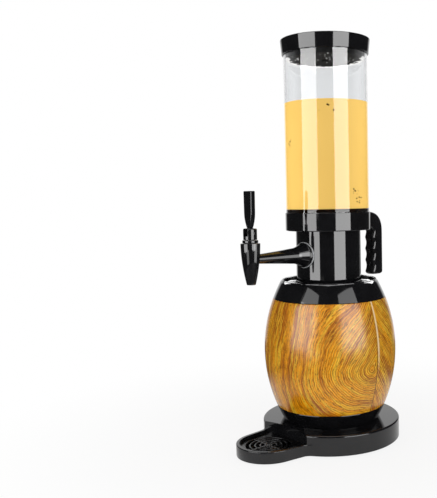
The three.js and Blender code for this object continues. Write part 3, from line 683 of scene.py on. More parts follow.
@dataclass(frozen=True)
class SatinPlastic:
    """Black moulding with a soft sheen and a fine spark grain."""

    name: str = "satin_black_plastic"
    colour: Colour = (23, 23, 25)
    roughness: float = 0.06
    specular: float = 0.5
    haze_scale: float = 45.0
    grain_scale: float = 2600.0
    grain_height: float = 0.00003

    def build(self) -> Material:
        """Makes the material."""
        coat = Coating(self.name)
        place = coat.place()
        haze = coat.noise(place, self.haze_scale, 3)
        grain = coat.noise(place, self.grain_scale, 2)
        coat.set(Base_Color=coat.shades(haze.ramp(*NOISE_RANGE), self.colour, -4, 4), IOR=PLASTIC_IOR)
        coat.set(Roughness=haze.ramp(*NOISE_RANGE, self.roughness, self.roughness + 0.06))
        coat.set(Specular_IOR_Level=self.specular)
        coat.bump(grain, 0.05, self.grain_height)
        return coat.material


@dataclass(frozen=True)
class Rubber:
    """Matt rubber or silicone with a powdery surface."""

    name: str
    colour: Colour
    roughness: float
    specular: float = 0.5
    dust_scale: float = 220.0
    grain_scale: float = 1500.0
    grain_height: float = 0.00005

    def build(self) -> Material:
        """Makes the material."""
        coat = Coating(self.name)
        place = coat.place()
        dust = coat.noise(place, self.dust_scale, 4)
        coat.set(Base_Color=coat.shades(dust.ramp(0.45, 0.75), self.colour, 0, 14), IOR=1.45)
        coat.set(Specular_IOR_Level=self.specular)
        coat.set(Roughness=dust.ramp(*NOISE_RANGE, self.roughness - 0.08, self.roughness + 0.05))
        coat.bump(coat.noise(place, self.grain_scale, 2), 0.15, self.grain_height)
        return coat.material


@dataclass(frozen=True)
class Steel:
    """Plain steel with turning marks."""

    name: str = "plain_steel"
    colour: Colour = (190, 192, 195)
    marks_stretch: tuple[float, float, float] = (120, 120, 4000)
    marks_height: float = 0.00005

    def build(self) -> Material:
        """Makes the material."""
        coat = Coating(self.name)
        marks = coat.noise(coat.place(self.marks_stretch), 1, 2)
        coat.set(Base_Color=coat.shades(marks.ramp(0.35, 0.7), self.colour, 0, -30), Metallic=1.0)
        coat.set(Roughness=marks.ramp(*NOISE_RANGE, 0.22, 0.36))
        coat.bump(marks, 0.1, self.marks_height)
        return coat.material


@dataclass(frozen=True)
class LacqueredWood:
    """Honey coloured wood with rings round a heart beside its seam, under a clear gloss lacquer, and a painted
    highlight along the step beside the seam.
    """

    name: str = "honey_wood_lacquered"
    heart_along: float = -0.0100
    heart_height: float = 0.118
    stretch_below: float = 0.85
    stretch_above: float = 2.5
    ring_spacing: float = 0.0031
    seam_step: float = 0.0030
    seam_width: float = 0.0012
    relief: float = 0.0002
    deep_colour: Colour = (190, 98, 0)
    pale_colour: Colour = (252, 164, 0)
    streak_colour: Colour = (255, 200, 50)
    late_colour: Colour = (132, 66, 0)
    early_colour: Colour = (255, 218, 84)
    fine_colour: Colour = (122, 58, 0)
    pore_colour: Colour = (104, 52, 0)
    seam_colour: Colour = (92, 48, 8)
    # Colour of the painted highlight along the seam's step.
    painted_highlight_colour: Colour = (252, 230, 184)

    def build(self) -> Material:
        """Makes the material."""
        coat = Coating(self.name)
        tree = coat.tree
        uv = tree.node("ShaderNodeUVMap", settings={"uv_map": "wrap"}).outputs[0]
        parts = tree.node("ShaderNodeSeparateXYZ", {0: uv})
        along, up = Signal(tree, parts.outputs[0]), Signal(tree, parts.outputs[1])
        slow, wave = coat.noise(uv, 8, 2, 0.45), coat.noise(uv, 38, 3)
        lean = (up - self.heart_height).math("MAXIMUM", 0.0) * along.ramp(-0.11, -0.01, 0.05, 0.62)
        side = along - self.heart_along + (slow - 0.5) * 0.03 - lean
        rise = up - self.heart_height + (slow - 0.5) * 0.034
        far = side.math("ABSOLUTE").ramp(0.08, 0.17, 0.0, 1.4)
        stretched = rise / (rise.ramp(-0.03, 0.03, self.stretch_below, self.stretch_above) + far)
        bent = (side * side + stretched * stretched).math("SQRT")
        past_seam = along.math("GREATER_THAN", 0.0)
        slanted = along * 0.8 + up * 0.62 + slow * 0.02
        distance = bent + (slanted - bent) * past_seam + (wave - 0.5) * 0.0055
        rings = distance / self.ring_spacing + (slow - 0.5) * 7
        saw = rings.math("FRACT")
        late = saw.ramp(0.3, 0.9) * (1 - saw.ramp(0.9, 1.0))
        early = saw.ramp(0.0, 0.12) * (1 - saw.ramp(0.12, 0.4))
        near = 1 - bent.ramp(0.03, 0.1, 0.0, 0.6)

        def streaks(across: float, lengthways: float, detail: float = 2.0) -> Signal:
            """Noise drawn out along the rings."""
            sockets = {0: distance * across, 1: up * lengthways, 2: along * lengthways}
            return coat.noise(tree.signal("ShaderNodeCombineXYZ", 0, sockets), 1, detail, 0.6)

        broad, medium, fine = streaks(95, 7), streaks(330, 12), streaks(1500, 80, 3)
        pores = streaks(1100, 230, 1).ramp(0.6, 0.72)
        seam = (1 - along.math("ABSOLUTE").ramp(0.0003, self.seam_width)) * up.ramp(0.12, 0.17, 1.0, 0.35)
        # Painted highlight: a pale line along the film's step beside the seam, fading out lower down, where the step no
        # longer catches the light. The step also gets a raised bump.
        step = (1 - (along - self.seam_step).math("ABSOLUTE").ramp(0.0006, 0.0022)) * up.ramp(0.10, 0.15)
        body = coat.blend(broad.ramp(0.39, 0.6), srgb(*self.deep_colour), srgb(*self.pale_colour))
        for share, colour in (
            (medium.ramp(0.5, 0.6, 0.0, 0.9), self.streak_colour),
            (late * near * broad.ramp(0.2, 0.6, 0.9, 0.5), self.late_colour),
            (early * near * 0.8, self.early_colour),
            (fine.ramp(0.52, 0.61, 0.0, 0.8), self.fine_colour),
            (pores * 0.7, self.pore_colour),
            (seam * 0.85, self.seam_colour),
            (step * 0.85, self.painted_highlight_colour),
        ):
            body = coat.blend(share, body, srgb(*colour))
        coat.set(Base_Color=body, Roughness=fine.ramp(*NOISE_RANGE, 0.3, 0.42), IOR=PLASTIC_IOR)
        coat.set(Specular_IOR_Level=0.0, Coat_Weight=1.0, Coat_Roughness=0.22)
        coat.bump(fine * -0.3 - pores * 0.6 - late * 0.2 - seam + step * 2, 0.2, self.relief)
        return coat.material


@dataclass(frozen=True)
class ClearPlastic:
    """Clear moulded plastic that bends light and lets lamps through to what it holds."""

    name: str = "clear_tube_plastic"
    tint: Colour = (246, 247, 248)
    haze_scale: float = 40.0
    haze: float = 0.012
    bending: float = 1.59

    def build(self) -> Material:
        """Makes the material."""
        coat = Coating(self.name)
        haze = coat.noise(coat.place(), self.haze_scale, 3)
        coat.set(Base_Color=srgb(*self.tint), Roughness=haze.ramp(0.4, 0.8, 0.0, self.haze))
        coat.set(Transmission_Weight=1.0, IOR=self.bending)
        clear = coat.tree.node("ShaderNodeBsdfTransparent", {"Color": srgb(*self.tint)})
        coat.cover(coat.tree.signal("ShaderNodeLightPath", "Is Shadow Ray"), clear.outputs[0])
        return coat.material


@dataclass(frozen=True)
class Drink:
    """Pale clear beer with a painted glow for the light that passes through it, and painted shade, dark brown, where it
    meets the floor.
    """

    name: str = "pale_beer"
    colour: Colour = (128, 104, 52)
    # The next two colours are the painted glow: emission that stands in for the light passing through the beer.
    light: Colour = (246, 202, 105)
    bright: Colour = (250, 208, 113)
    # Colour of the painted shade where the drink meets the floor.
    shade: Colour = (58, 26, 0)
    bottom: float = 0.3377
    shade_depth: float = 0.001
    glow: float = 0.8

    def build(self) -> Material:
        """Makes the material."""
        coat = Coating(self.name)
        cloud = coat.noise(coat.place((1, 1, 0.4)), 12, 3)
        height = coat.tree.signal("ShaderNodeSeparateXYZ", 2, {0: coat.place()})
        # Painted shade: the lowest millimetre of the drink turns dark brown and stops glowing.
        painted_bottom_shade = height.ramp(self.bottom, self.bottom + self.shade_depth, 1.0, 0.0)
        body = coat.shades(cloud.ramp(*NOISE_RANGE), self.colour, 0, 6)
        light = coat.blend(cloud.ramp(*NOISE_RANGE), srgb(*self.light), srgb(*self.bright))
        coat.set(Base_Color=coat.blend(painted_bottom_shade, body, srgb(*self.shade)))
        # Painted glow: the drink shines with light of its own.
        coat.set(Emission_Color=coat.blend(painted_bottom_shade, light, srgb(0, 0, 0)), Emission_Strength=self.glow)
        coat.set(Roughness=cloud.ramp(*NOISE_RANGE, 0.45, 0.55), IOR=1.33, Specular_IOR_Level=0.1)
        return coat.material


@dataclass(frozen=True)
class Froth:
    """White froth of fine bubbles, with a painted glow that keeps it bright under any lamp."""

    name: str = "white_froth"
    dull: Colour = (120, 120, 119)
    pale: Colour = (140, 140, 140)
    light: Colour = (252, 252, 252)
    glow: float = 0.9
    cell_scale: float = 900.0
    cell_height: float = 0.0002

    def build(self) -> Material:
        """Makes the material."""
        coat = Coating(self.name)
        cells = coat.noise(coat.place(), self.cell_scale, 3)
        coat.set(Base_Color=coat.blend(cells.ramp(*NOISE_RANGE), srgb(*self.dull), srgb(*self.pale)))
        coat.set(Roughness=cells.ramp(*NOISE_RANGE, 0.35, 0.6))
        # Painted glow: the froth shines with white light of its own.
        coat.set(Emission_Color=srgb(*self.light), Emission_Strength=self.glow)
        coat.bump(cells, 0.4, self.cell_height)
        return coat.material


def make_finishes() -> dict[Slot, Material]:
    """Makes the material of each slot.

    Returns:
        Materials by slot.
    """
    return {
        Slot.GLOSS_BLACK: GlossPlastic().build(),
        Slot.SATIN_BLACK: SatinPlastic().build(),
        Slot.RUBBER_BLACK: Rubber("black_rubber", (26, 26, 27), 0.8).build(),
        # The flange seal is a real seal, and its pale grey partly stands in for the light line along the flange's edge,
        # a painted highlight.
        Slot.SEAL_GREY: Rubber("grey_seal", (190, 192, 194), 0.35).build(),
        Slot.STEEL: Steel().build(),
        Slot.HONEY_WOOD: LacqueredWood().build(),
        Slot.CLEAR_PLASTIC: ClearPlastic().build(),
        Slot.MILKY_SILICONE: Rubber("milky_silicone", (224, 224, 220), 0.5).build(),
    }


# Geometry node groups


class Pattern:
    """A geometry node group with named inputs that makes repeated forms."""

    def __init__(self, name: str, inputs: dict[str, str]) -> None:
        """Starts the group.

        Args:
            name: Name of the group.
            inputs: Kind of socket by input name, beside the material.
        """
        self.group = bpy.data.node_groups.new(name, "GeometryNodeTree")
        self.group.interface.new_socket(name="Geometry", in_out="OUTPUT", socket_type="NodeSocketGeometry")
        self.identifiers: dict[str, str] = {}
        for key, kind in {**inputs, "Material": "Material"}.items():
            socket = self.group.interface.new_socket(name=key, in_out="INPUT", socket_type="NodeSocket" + kind)
            self.identifiers[key] = socket.identifier
        self.tree = Tree(self.group)
        self.inputs = self.tree.node("NodeGroupInput")

    def value(self, name: str) -> Signal:
        """One of the group's inputs."""
        return Signal(self.tree, self.inputs.outputs[name])

    def upward(self, length: Any) -> Signal:
        """A vector along Z."""
        return self.tree.signal("ShaderNodeCombineXYZ", 0, {"Z": length})

    def close(self, geometry: NodeSocket) -> None:
        """Ends the group in real geometry with its material.

        Args:
            geometry: The instances or mesh to output.
        """
        real = self.tree.node("GeometryNodeRealizeInstances", {0: geometry})
        sockets = {0: real.outputs[0], "Material": self.value("Material")}
        painted = self.tree.node("GeometryNodeSetMaterial", sockets)
        self.tree.node("NodeGroupOutput", {0: painted.outputs[0]})

    def mesh(self, name: str, values: dict[str, Any]) -> Mesh:
        """Runs the group and returns a plain mesh.

        Args:
            name: Name of the mesh.
            values: Input values by name.

        Returns:
            The mesh.
        """
        holder = add_object(name + "_holder", bpy.data.meshes.new(name + "_holder"))
        modifier = holder.modifiers.new("pattern", "NODES")
        modifier.node_group = self.group
        for key, value in values.items():
            modifier[self.identifiers[key]] = value
        mesh = baked(holder, name)
        discard(holder)
        return mesh


def screw_ring_pattern() -> Pattern:
    """Screws spread evenly on a circle.

    Returns:
        The pattern.
    """
    pattern = Pattern("screw_ring", {
        "Count": "Int", "Circle Radius": "Float", "Turn": "Float", "Height": "Float", "Screw": "Object",
    })
    tree = pattern.tree
    circle = tree.node("GeometryNodeMeshCircle", {
        "Vertices": pattern.value("Count"), "Radius": pattern.value("Circle Radius"),
    })
    placed = tree.node("GeometryNodeTransform", {
        0: circle.outputs[0],
        "Translation": pattern.upward(pattern.value("Height")),
        "Rotation": pattern.upward(pattern.value("Turn")),
    })
    screw = tree.node("GeometryNodeObjectInfo", {"Object": pattern.value("Screw")})
    spread = tree.node("GeometryNodeInstanceOnPoints", {
        "Points": placed.outputs[0], "Instance": screw.outputs["Geometry"],
    })
    pattern.close(spread.outputs[0])
    return pattern


def rib_ring_pattern() -> Pattern:
    """Round ribs in rings that share one centre.

    Returns:
        The pattern.
    """
    pattern = Pattern("rib_rings", {
        "Count": "Int", "First Radius": "Float", "Spacing": "Float", "Rib Width": "Float", "Rib Height": "Float",
        "Centre": "Vector",
    })
    tree = pattern.tree
    line = tree.node("GeometryNodeMeshLine", {"Count": pattern.value("Count"), "Offset": (0, 0, 0)})
    radius = tree.signal("GeometryNodeInputIndex") * pattern.value("Spacing") + pattern.value("First Radius")
    circle = tree.node("GeometryNodeCurvePrimitiveCircle", {"Resolution": 96, "Radius": 1.0})
    rings = tree.node("GeometryNodeInstanceOnPoints", {
        "Points": line.outputs[0],
        "Instance": circle.outputs[0],
        "Scale": tree.signal("ShaderNodeCombineXYZ", 0, {"X": radius, "Y": radius, "Z": 1.0}),
    })
    curves = tree.node("GeometryNodeRealizeInstances", {0: rings.outputs[0]})
    section = tree.node("GeometryNodeCurvePrimitiveQuadrilateral", {
        "Width": pattern.value("Rib Width"), "Height": pattern.value("Rib Height"),
    })
    fillet = tree.node("GeometryNodeFilletCurve", {
        0: section.outputs[0], "Radius": pattern.value("Rib Width") * RIB_ROUNDING, "Count": 4,
    }, {"mode": "POLY"})
    ribs = tree.node("GeometryNodeCurveToMesh", {0: curves.outputs[0], "Profile Curve": fillet.outputs[0]})
    moved = tree.node("GeometryNodeTransform", {0: ribs.outputs[0], "Translation": pattern.value("Centre")})
    pattern.close(moved.outputs[0])
    return pattern


def bubble_pattern(flat: bool = False, clumps: Sequence[Vector] = (), reach: float = 0.0) -> Pattern:
    """Small round bubbles scattered on an upright cylinder, or on a level disc.

    Args:
        flat: Scatters them on the disc at the top.
        clumps: Places that they gather round, or none to scatter them evenly.
        reach: Radius of a clump.

    Returns:
        The pattern.
    """
    inputs = {**dict.fromkeys(("Radius", "Bottom", "Top", "Density", "Smallest", "Largest"), "Float"), "Seed": "Int"}
    pattern = Pattern("flat_bubbles" if flat else "bubbles", inputs)
    radius, bottom, top, density, smallest, largest, seed = (pattern.value(name) for name in inputs)
    tree = pattern.tree
    if flat:
        wall = tree.node("GeometryNodeMeshCircle", {"Vertices": 64, "Radius": radius}, {"fill_type": "NGON"})
        middle = pattern.upward(top)
    else:
        wall = tree.node("GeometryNodeMeshCylinder", {
            "Vertices": 128, "Side Segments": 56, "Radius": radius, "Depth": top - bottom,
        }, {"fill_type": "NONE"})
        middle = pattern.upward((top + bottom) * 0.5)
    moved = tree.node("GeometryNodeTransform", {0: wall.outputs[0], "Translation": middle})
    if clumps:
        where = tree.signal("GeometryNodeInputPosition")
        gaps = [
            tree.signal("ShaderNodeVectorMath", "Value", {0: where, 1: clump}, {"operation": "DISTANCE"})
            for clump in clumps
        ]
        nearest = gaps[0]
        for gap in gaps[1:]:
            nearest = nearest.math("MINIMUM", gap)
        density = density * nearest.ramp(reach * CLUMP_CORE, reach, 1.0, 0.0)
    points = tree.node("GeometryNodeDistributePointsOnFaces", {
        0: moved.outputs[0], "Density": density, "Seed": seed,
    })
    ball = tree.node("GeometryNodeMeshIcoSphere", {"Radius": 1.0, "Subdivisions": 2})
    size = tree.signal("FunctionNodeRandomValue", 1, {2: smallest, 3: largest, "Seed": seed}, {"data_type": "FLOAT"})
    balls = tree.node("GeometryNodeInstanceOnPoints", {
        "Points": points.outputs[0], "Instance": ball.outputs[0], "Scale": size,
    })
    pattern.close(balls.outputs[0])
    return pattern


# Sub-assemblies


@dataclass
class Stand:
    """Disc and tray tongue with the recess for the grill."""

    shop: Workshop
    disc_radius: float = 0.101
    disc_top: float = 0.030
    disc_edge: float = 0.0025
    disc_steps: int = 96
    wall: float = 0.0025
    tongue_radius: float = 0.0445
    tongue_top: float = 0.018
    tongue_edge: float = 0.001
    tongue_steps: int = 48
    tray_distance: float = 0.1195
    flare_degrees: float = 6.0
    fillet: float = 0.014
    fillet_steps: int = 10
    tuck: float = 0.006
    foot_height: float = 0.0015
    rim_width: float = 0.0045
    pan_top: float = 0.008
    back_arc_reach: float = 0.0385
    back_arc_radius: float = 0.135
    bolt_hole: float = 0.0043
    bosses: int = 4
    boss_turn: float = 45.0
    boss_circle: float = 0.082
    boss_radius: float = 0.0042
    boss_bottom: float = 0.0054
    screw_hole: float = 0.0018
    screw_depth: float = 0.0171

    def outline(self, inset: float) -> list[Point]:
        """Outline of disc and tongue, moved in by an inset.

        Args:
            inset: Distance inwards.

        Returns:
            Points of the outline.
        """
        flare, degrees = math.radians(self.flare_degrees), self.flare_degrees
        disc, tongue, fillet = self.disc_radius - inset, self.tongue_radius - inset, self.fillet + inset
        reach = tongue + fillet + self.tray_distance * math.sin(flare)
        along = math.sqrt((disc + fillet) ** 2 - reach ** 2)
        x = reach * math.cos(flare) - along * math.sin(flare)
        y = -reach * math.sin(flare) - along * math.cos(flare)
        meet = math.degrees(math.atan2(y, x))
        points = arc((0, 0), disc, meet, 180 - meet, self.disc_steps)
        points += arc((-x, y), fillet, -meet, degrees, self.fillet_steps)[1:]
        points += arc((0, -self.tray_distance), tongue, 180 + degrees, 360 - degrees, self.tongue_steps)
        points += arc((x, y), fillet, 180 - degrees, 180 + meet, self.fillet_steps)[:-1]
        return points

    def tucked(self, inset: float) -> list[Point]:
        """The outline with its disc part drawn in a little, so that it lies inside the disc.

        Args:
            inset: Distance inwards.

        Returns:
            Points of the outline.
        """
        points = self.outline(inset)
        for i in range(1, self.disc_steps):
            scale = 1 - self.tuck * math.sin(math.pi * i / self.disc_steps)
            points[i] = (points[i][0] * scale, points[i][1] * scale)
        return points

    def back_cylinder(self, extra: float, bottom: float, top: float) -> Shell:
        """The upright cylinder whose wall is the recess's back.

        Args:
            extra: Added to its radius.
            bottom: Lowest height.
            top: Highest height.

        Returns:
            The cylinder.
        """
        depth = self.tray_distance - self.back_arc_reach
        back = drum(0, self.back_arc_radius + extra, bottom, top)
        return back.moved(Matrix.Translation((0, -depth - self.back_arc_radius, 0)))

    def recess(self, inset: float, bottom: float, top: float) -> Shell:
        """Space of the drip tray."""
        block = prism(self.outline(self.rim_width + inset), bottom, top)
        return carve(block, (Carving.TRIM, self.back_cylinder(-inset, bottom - OVERRUN, top + OVERRUN)))

    def tongue(self) -> Shell:
        """The whole outline from the foot up to the tongue's top, with soft edges."""
        low, edge = self.foot_height, self.tongue_edge
        levels = [(edge, low), (edge * EDGE_MIDDLE, low + edge * EDGE_MIDDLE), (0, low + edge)]
        for turn in (math.radians(degrees) for degrees in (90, 60, 30, 0)):
            levels.append((edge * (1 - math.sin(turn)), self.tongue_top - edge * (1 - math.cos(turn))))
        return stack(self.tucked, levels)

    def screw_drums(self, radius: float, bottom: float, top: float, sides: int) -> list[tuple[Carving, Shell]]:
        """Cuts with upright drums at the screws.

        Args:
            radius: Radius of the drums.
            bottom: Lowest height.
            top: Highest height.
            sides: Facets round each.

        Returns:
            The cuts.
        """
        cuts = []
        for i in range(self.bosses):
            turn = Matrix.Rotation(math.radians(self.boss_turn + 360 / self.bosses * i), 4, "Z")
            place = turn @ Matrix.Translation((self.boss_circle, 0, 0))
            cuts.append((Carving.CUT, drum(0, radius, bottom, top, sides).moved(place)))
        return cuts

    def housing(self) -> Shell:
        """The moulded shell with its recess and its hollow underside."""
        low = self.foot_height + self.tongue_edge
        disc = lathe(soften([
            Corner(0, low), Corner(self.disc_radius, low),
            Corner(self.disc_radius, self.disc_top, self.disc_edge, 6), Corner(0, self.disc_top),
        ]), Sides.DISC)
        over = self.disc_top + 2 * OVERRUN
        space = carve(
            drum(0, self.disc_radius - self.wall, -OVERRUN, self.disc_top - self.wall, Sides.DISC),
            (Carving.JOIN, prism(self.tucked(self.wall), -2 * OVERRUN, self.tongue_top - self.wall)),
            (Carving.CUT, self.recess(-self.wall, self.pan_top - self.wall, over)),
            *self.screw_drums(self.boss_radius, self.boss_bottom, self.disc_top - self.wall / 2, Sides.LEG),
        )
        return carve(
            self.tongue(),
            (Carving.JOIN, disc),
            (Carving.CUT, space),
            (Carving.CUT, self.recess(0, self.pan_top, over + OVERRUN)),
            (Carving.CUT, self.back_cylinder(0, self.tongue_top, over)),
            (Carving.CUT, drum(0, self.bolt_hole, 0, 2 * self.disc_top, Sides.BOLT)),
            *self.screw_drums(self.screw_hole, 0, self.screw_depth, Sides.HOLE),
        )

    def build(self) -> None:
        """Makes the stand's pieces."""
        self.shop.piece("base_housing", self.housing(), Body.BASE, Slot.SATIN_BLACK, ("base_shell",))
        self.shop.dress("base_plate", Slot.SATIN_BLACK)
        for node in ("center_pad", "foot_right", "foot_back", "foot_left", "tray_foot"):
            self.shop.dress(node, Slot.RUBBER_BLACK)


@dataclass
class DripGrill:
    """Lift-out grill of rings and spokes over the recess."""

    shop: Workshop
    stand: Stand
    top: float = 0.0135
    thickness: float = 0.003
    gap: float = 0.0003
    first_ring: float = 0.0044
    ring_spacing: float = 0.00715
    ring_count: int = 5
    rib_width: float = 0.003
    spokes: int = 4
    spoke_width: float = 0.0032
    spoke_start: float = 0.0005
    spoke_corner: float = 0.0006
    spoke_relief: float = 0.0004
    spoke_drop: float = 0.0001
    leg_radius: float = 0.0022
    leg_foot: float = 0.0083
    leg_edge: float = 0.0005

    @property
    def outer_ring(self) -> float:
        """Radius of the outermost ring's middle line."""
        return self.first_ring + (self.ring_count - 1) * self.ring_spacing

    def plate(self) -> Shell:
        """The rim plate that fills the recess round the rings."""
        bottom = self.top - self.thickness
        opening = drum(0, self.outer_ring, bottom - OVERRUN, self.top + OVERRUN, Sides.ROUND)
        opening = opening.moved(Matrix.Translation((0, -self.stand.tray_distance, 0)))
        return carve(self.stand.recess(self.gap, bottom, self.top), (Carving.CUT, opening))

    def struts(self) -> Shell:
        """The spokes and the legs."""
        outer = self.outer_ring + self.rib_width / 2
        half = self.top - self.thickness / 2
        section = rounded_box(self.spoke_width, self.thickness - self.spoke_relief, self.spoke_corner, 2)
        spoke = loft([
            [Vector((along, across, half - self.spoke_drop + height)) for across, height in section]
            for along in (self.spoke_start, outer)
        ])
        leg = lathe(soften([
            Corner(0, self.leg_foot), Corner(self.leg_radius, self.leg_foot, self.leg_edge),
            Corner(self.leg_radius, half), Corner(0, half),
        ]), Sides.LEG)
        centre = Matrix.Translation((0, -self.stand.tray_distance, 0))
        struts = Shell()
        for i in range(self.spokes):
            turn = centre @ Matrix.Rotation(math.tau * i / self.spokes, 4, "Z")
            foot = turn @ Matrix.Translation((outer - self.rib_width / 2, 0, 0))
            struts = struts.joined(spoke.moved(turn), leg.moved(foot))
        return struts

    def build(self) -> None:
        """Makes the grill's pieces."""
        # A darker copy of the stand's satin black. Its darker colour is painted shade of the recess; its rougher,
        # duller sheen is roughness.
        dull = SatinPlastic("grill_black_plastic", (14, 14, 15), 0.18, 0.3).build()
        self.shop.piece("drip_grill_plate", self.plate(), Body.GRILL, Slot.SATIN_BLACK, ("drip_grill",), dull)
        ribs = rib_ring_pattern().mesh("drip_grill_ribs", {
            "Count": self.ring_count,
            "First Radius": self.first_ring,
            "Spacing": self.ring_spacing,
            "Rib Width": self.rib_width,
            "Rib Height": self.thickness,
            "Centre": (0, -self.stand.tray_distance, self.top - self.thickness / 2),
            "Material": dull,
        })
        self.shop.piece("drip_grill_ribs", ribs, Body.GRILL, Slot.SATIN_BLACK, (), dull)
        self.shop.piece("drip_grill_struts", self.struts(), Body.GRILL, Slot.SATIN_BLACK, (), dull)


@dataclass
class Barrel:
    """Bulging stand body: foot ring, wooden sleeve and cap with its dish."""

    shop: Workshop
    waist_radius: float = 0.0968
    waist_height: float = 0.1325
    rim_radius: float = 0.0702
    bottom: float = 0.0303
    foot_top: float = 0.051
    sleeve_top: float = 0.208
    top: float = 0.235
    gap: float = 0.0003
    edge: float = 0.0006
    ease_in: float = 0.2
    ease_up: float = 0.35
    sleeve_edge: float = 0.0007
    wall: float = 0.003
    sleeve_wall: float = 0.004
    lip_height: float = 0.005
    lip_wall: float = 0.0025
    cap_lip_gap: float = 0.0005
    rim_width: float = 0.003
    dish_depth: float = 0.008
    dish_slope: float = 0.0045
    socket_radius: float = 0.048
    socket_floor: float = 0.195
    socket_flat: float = 0.001
    bolt_hole: float = 0.0043
    seam_turn: float = math.radians(0.2)

    def radius_at(self, height: float) -> float:
        """Radius of the bulge at a height.

        Args:
            height: The height.

        Returns:
            The radius there.
        """
        rise, drop = self.top - self.waist_height, self.waist_radius - self.rim_radius
        bulge = (rise ** 2 + drop ** 2) / (2 * drop)
        return self.waist_radius - bulge + math.sqrt(bulge ** 2 - (height - self.waist_height) ** 2)

    def flank(self, low: float, high: float, steps: int) -> list[Point]:
        """Points on the bulge between two heights."""
        heights = (low + (high - low) * i / steps for i in range(steps + 1))
        return [(self.radius_at(height), height) for height in heights]

    def eased(self, radius: float, height: float, side: int) -> list[Point]:
        """Points of the soft edge between a level face and the bulge, outwards."""
        edge, rise = self.edge, side * self.edge * self.ease_up
        return [(radius - 2 * edge, height), (radius - edge, height), (radius - edge * self.ease_in, height + rise)]

    def foot_ring(self) -> Shell:
        """The black ring under the sleeve."""
        outer = self.flank(self.bottom + self.edge, self.foot_top - self.edge, 10)
        lip = self.radius_at(self.foot_top) - self.sleeve_wall - self.gap
        inner, lip_top, floor = lip - self.lip_wall, self.foot_top + self.lip_height, self.bottom + self.wall
        return lathe([
            (self.bolt_hole, self.bottom), *self.eased(outer[0][0], self.bottom, 1), *outer,
            *reversed(self.eased(outer[-1][0], self.foot_top, -1)),
            (lip, self.foot_top), (lip, lip_top), (inner, lip_top), (inner, self.foot_top - self.wall),
            (self.radius_at(floor) - self.wall, floor), (self.bolt_hole, floor),
        ])

    def sleeve(self) -> Mesh:
        """The wooden sleeve with a map that unrolls it from its seam."""
        edge, middle = self.sleeve_edge, self.sleeve_edge * EDGE_MIDDLE
        low, high = self.foot_top + self.gap, self.sleeve_top
        outer = self.flank(low + edge, high - edge, 64)
        start, end = outer[0][0], outer[-1][0]
        profile = [(start - edge, low), (start - middle, low + middle), *outer, (end - middle, high - middle)]
        profile += [(end - edge, high), *((r - self.sleeve_wall, z) for r, z in reversed(self.flank(low, high, 16)))]
        mesh = lathe(profile, Sides.TUBE, self.seam_turn).mesh("barrel_sleeve_wood")
        finish_mesh(mesh)
        layer = mesh.uv_layers.new(name="wrap")

        def unrolled(x: float, y: float, near: float = 0.0) -> float:
            """Angle from the seam, within half a turn of another."""
            return (math.atan2(y, x) - self.seam_turn - near + math.pi) % math.tau - math.pi + near

        for face in mesh.polygons:
            facing = unrolled(face.center.x, face.center.y)
            for loop in face.loop_indices:
                spot = mesh.vertices[mesh.loops[loop].vertex_index].co
                layer.data[loop].uv = (unrolled(spot.x, spot.y, facing) * self.waist_radius, spot.z)
        return mesh

    def cap(self) -> Shell:
        """The black cap with a round rim, a dish and the neck's socket."""
        low, edge, rim_round = self.sleeve_top + self.gap, self.edge, self.rim_width / 2
        outer = self.flank(low + edge, self.top - self.rim_width, 12)
        dish, mouth, flat = self.top - self.dish_depth, self.socket_radius, self.socket_flat
        slope = self.rim_radius - self.rim_width - self.dish_slope
        outside, under = mouth + self.wall, self.socket_floor - self.wall
        lip = self.radius_at(self.sleeve_top) - self.sleeve_wall - self.cap_lip_gap
        inner = lip - self.lip_wall
        return lathe([
            *self.eased(outer[0][0], low, 1), *outer,
            *arc((self.rim_radius - rim_round, self.top - rim_round), rim_round, 0, 180, 12),
            *arc((slope, dish + self.dish_slope), self.dish_slope, 0, -90, 8),
            (mouth + flat, dish), *arc((mouth + edge, dish - edge), edge, 90, 180, 3), (mouth, dish - flat),
            (mouth, self.socket_floor), (self.bolt_hole, self.socket_floor), (self.bolt_hole, under), (outside, under),
            (outside, dish - self.wall), (slope, dish - self.wall),
            (inner, low + self.lip_height), (inner, low - self.lip_height), (lip, low - self.lip_height), (lip, low),
        ])

    def build(self) -> None:
        """Makes the barrel's pieces."""
        shop = self.shop
        shop.piece("barrel_foot_ring_moulded", self.foot_ring(), Body.BASE, Slot.GLOSS_BLACK, ("barrel_foot_ring",))
        shop.piece("barrel_sleeve_wood", self.sleeve(), Body.BASE, Slot.HONEY_WOOD, ("barrel_sleeve",))
        shop.piece("barrel_cap_moulded", self.cap(), Body.BASE, Slot.GLOSS_BLACK, ("barrel_top_cap",))
        for node in ("tie_bolt", "tie_washer", "tie_nut"):
            shop.dress(node, Slot.STEEL)
        shop.dress("seat_ring", Slot.MILKY_SILICONE)


@dataclass(frozen=True)
class Seal:
    """A round rubber ring in its groove inside the tube."""

    height: float
    radius: float = 0.05645
    thickness: float = 0.00115
    groove_width: float = 0.003
    groove_depth: float = 0.002

    def ring(self) -> Shell:
        """The ring."""
        return lathe([(self.radius + r, self.height + z) for r, z in arc((0, 0), self.thickness, 0, 345, 23)])

    def groove(self, wall: float) -> list[Corner]:
        """Corners of the groove, from below.

        Args:
            wall: Radius of the wall that the groove is in.

        Returns:
            The corners.
        """
        low, high = self.height - self.groove_width / 2, self.height + self.groove_width / 2
        deep = wall - self.groove_depth
        return [Corner(wall, low), Corner(deep, low), Corner(deep, high), Corner(wall, high)]


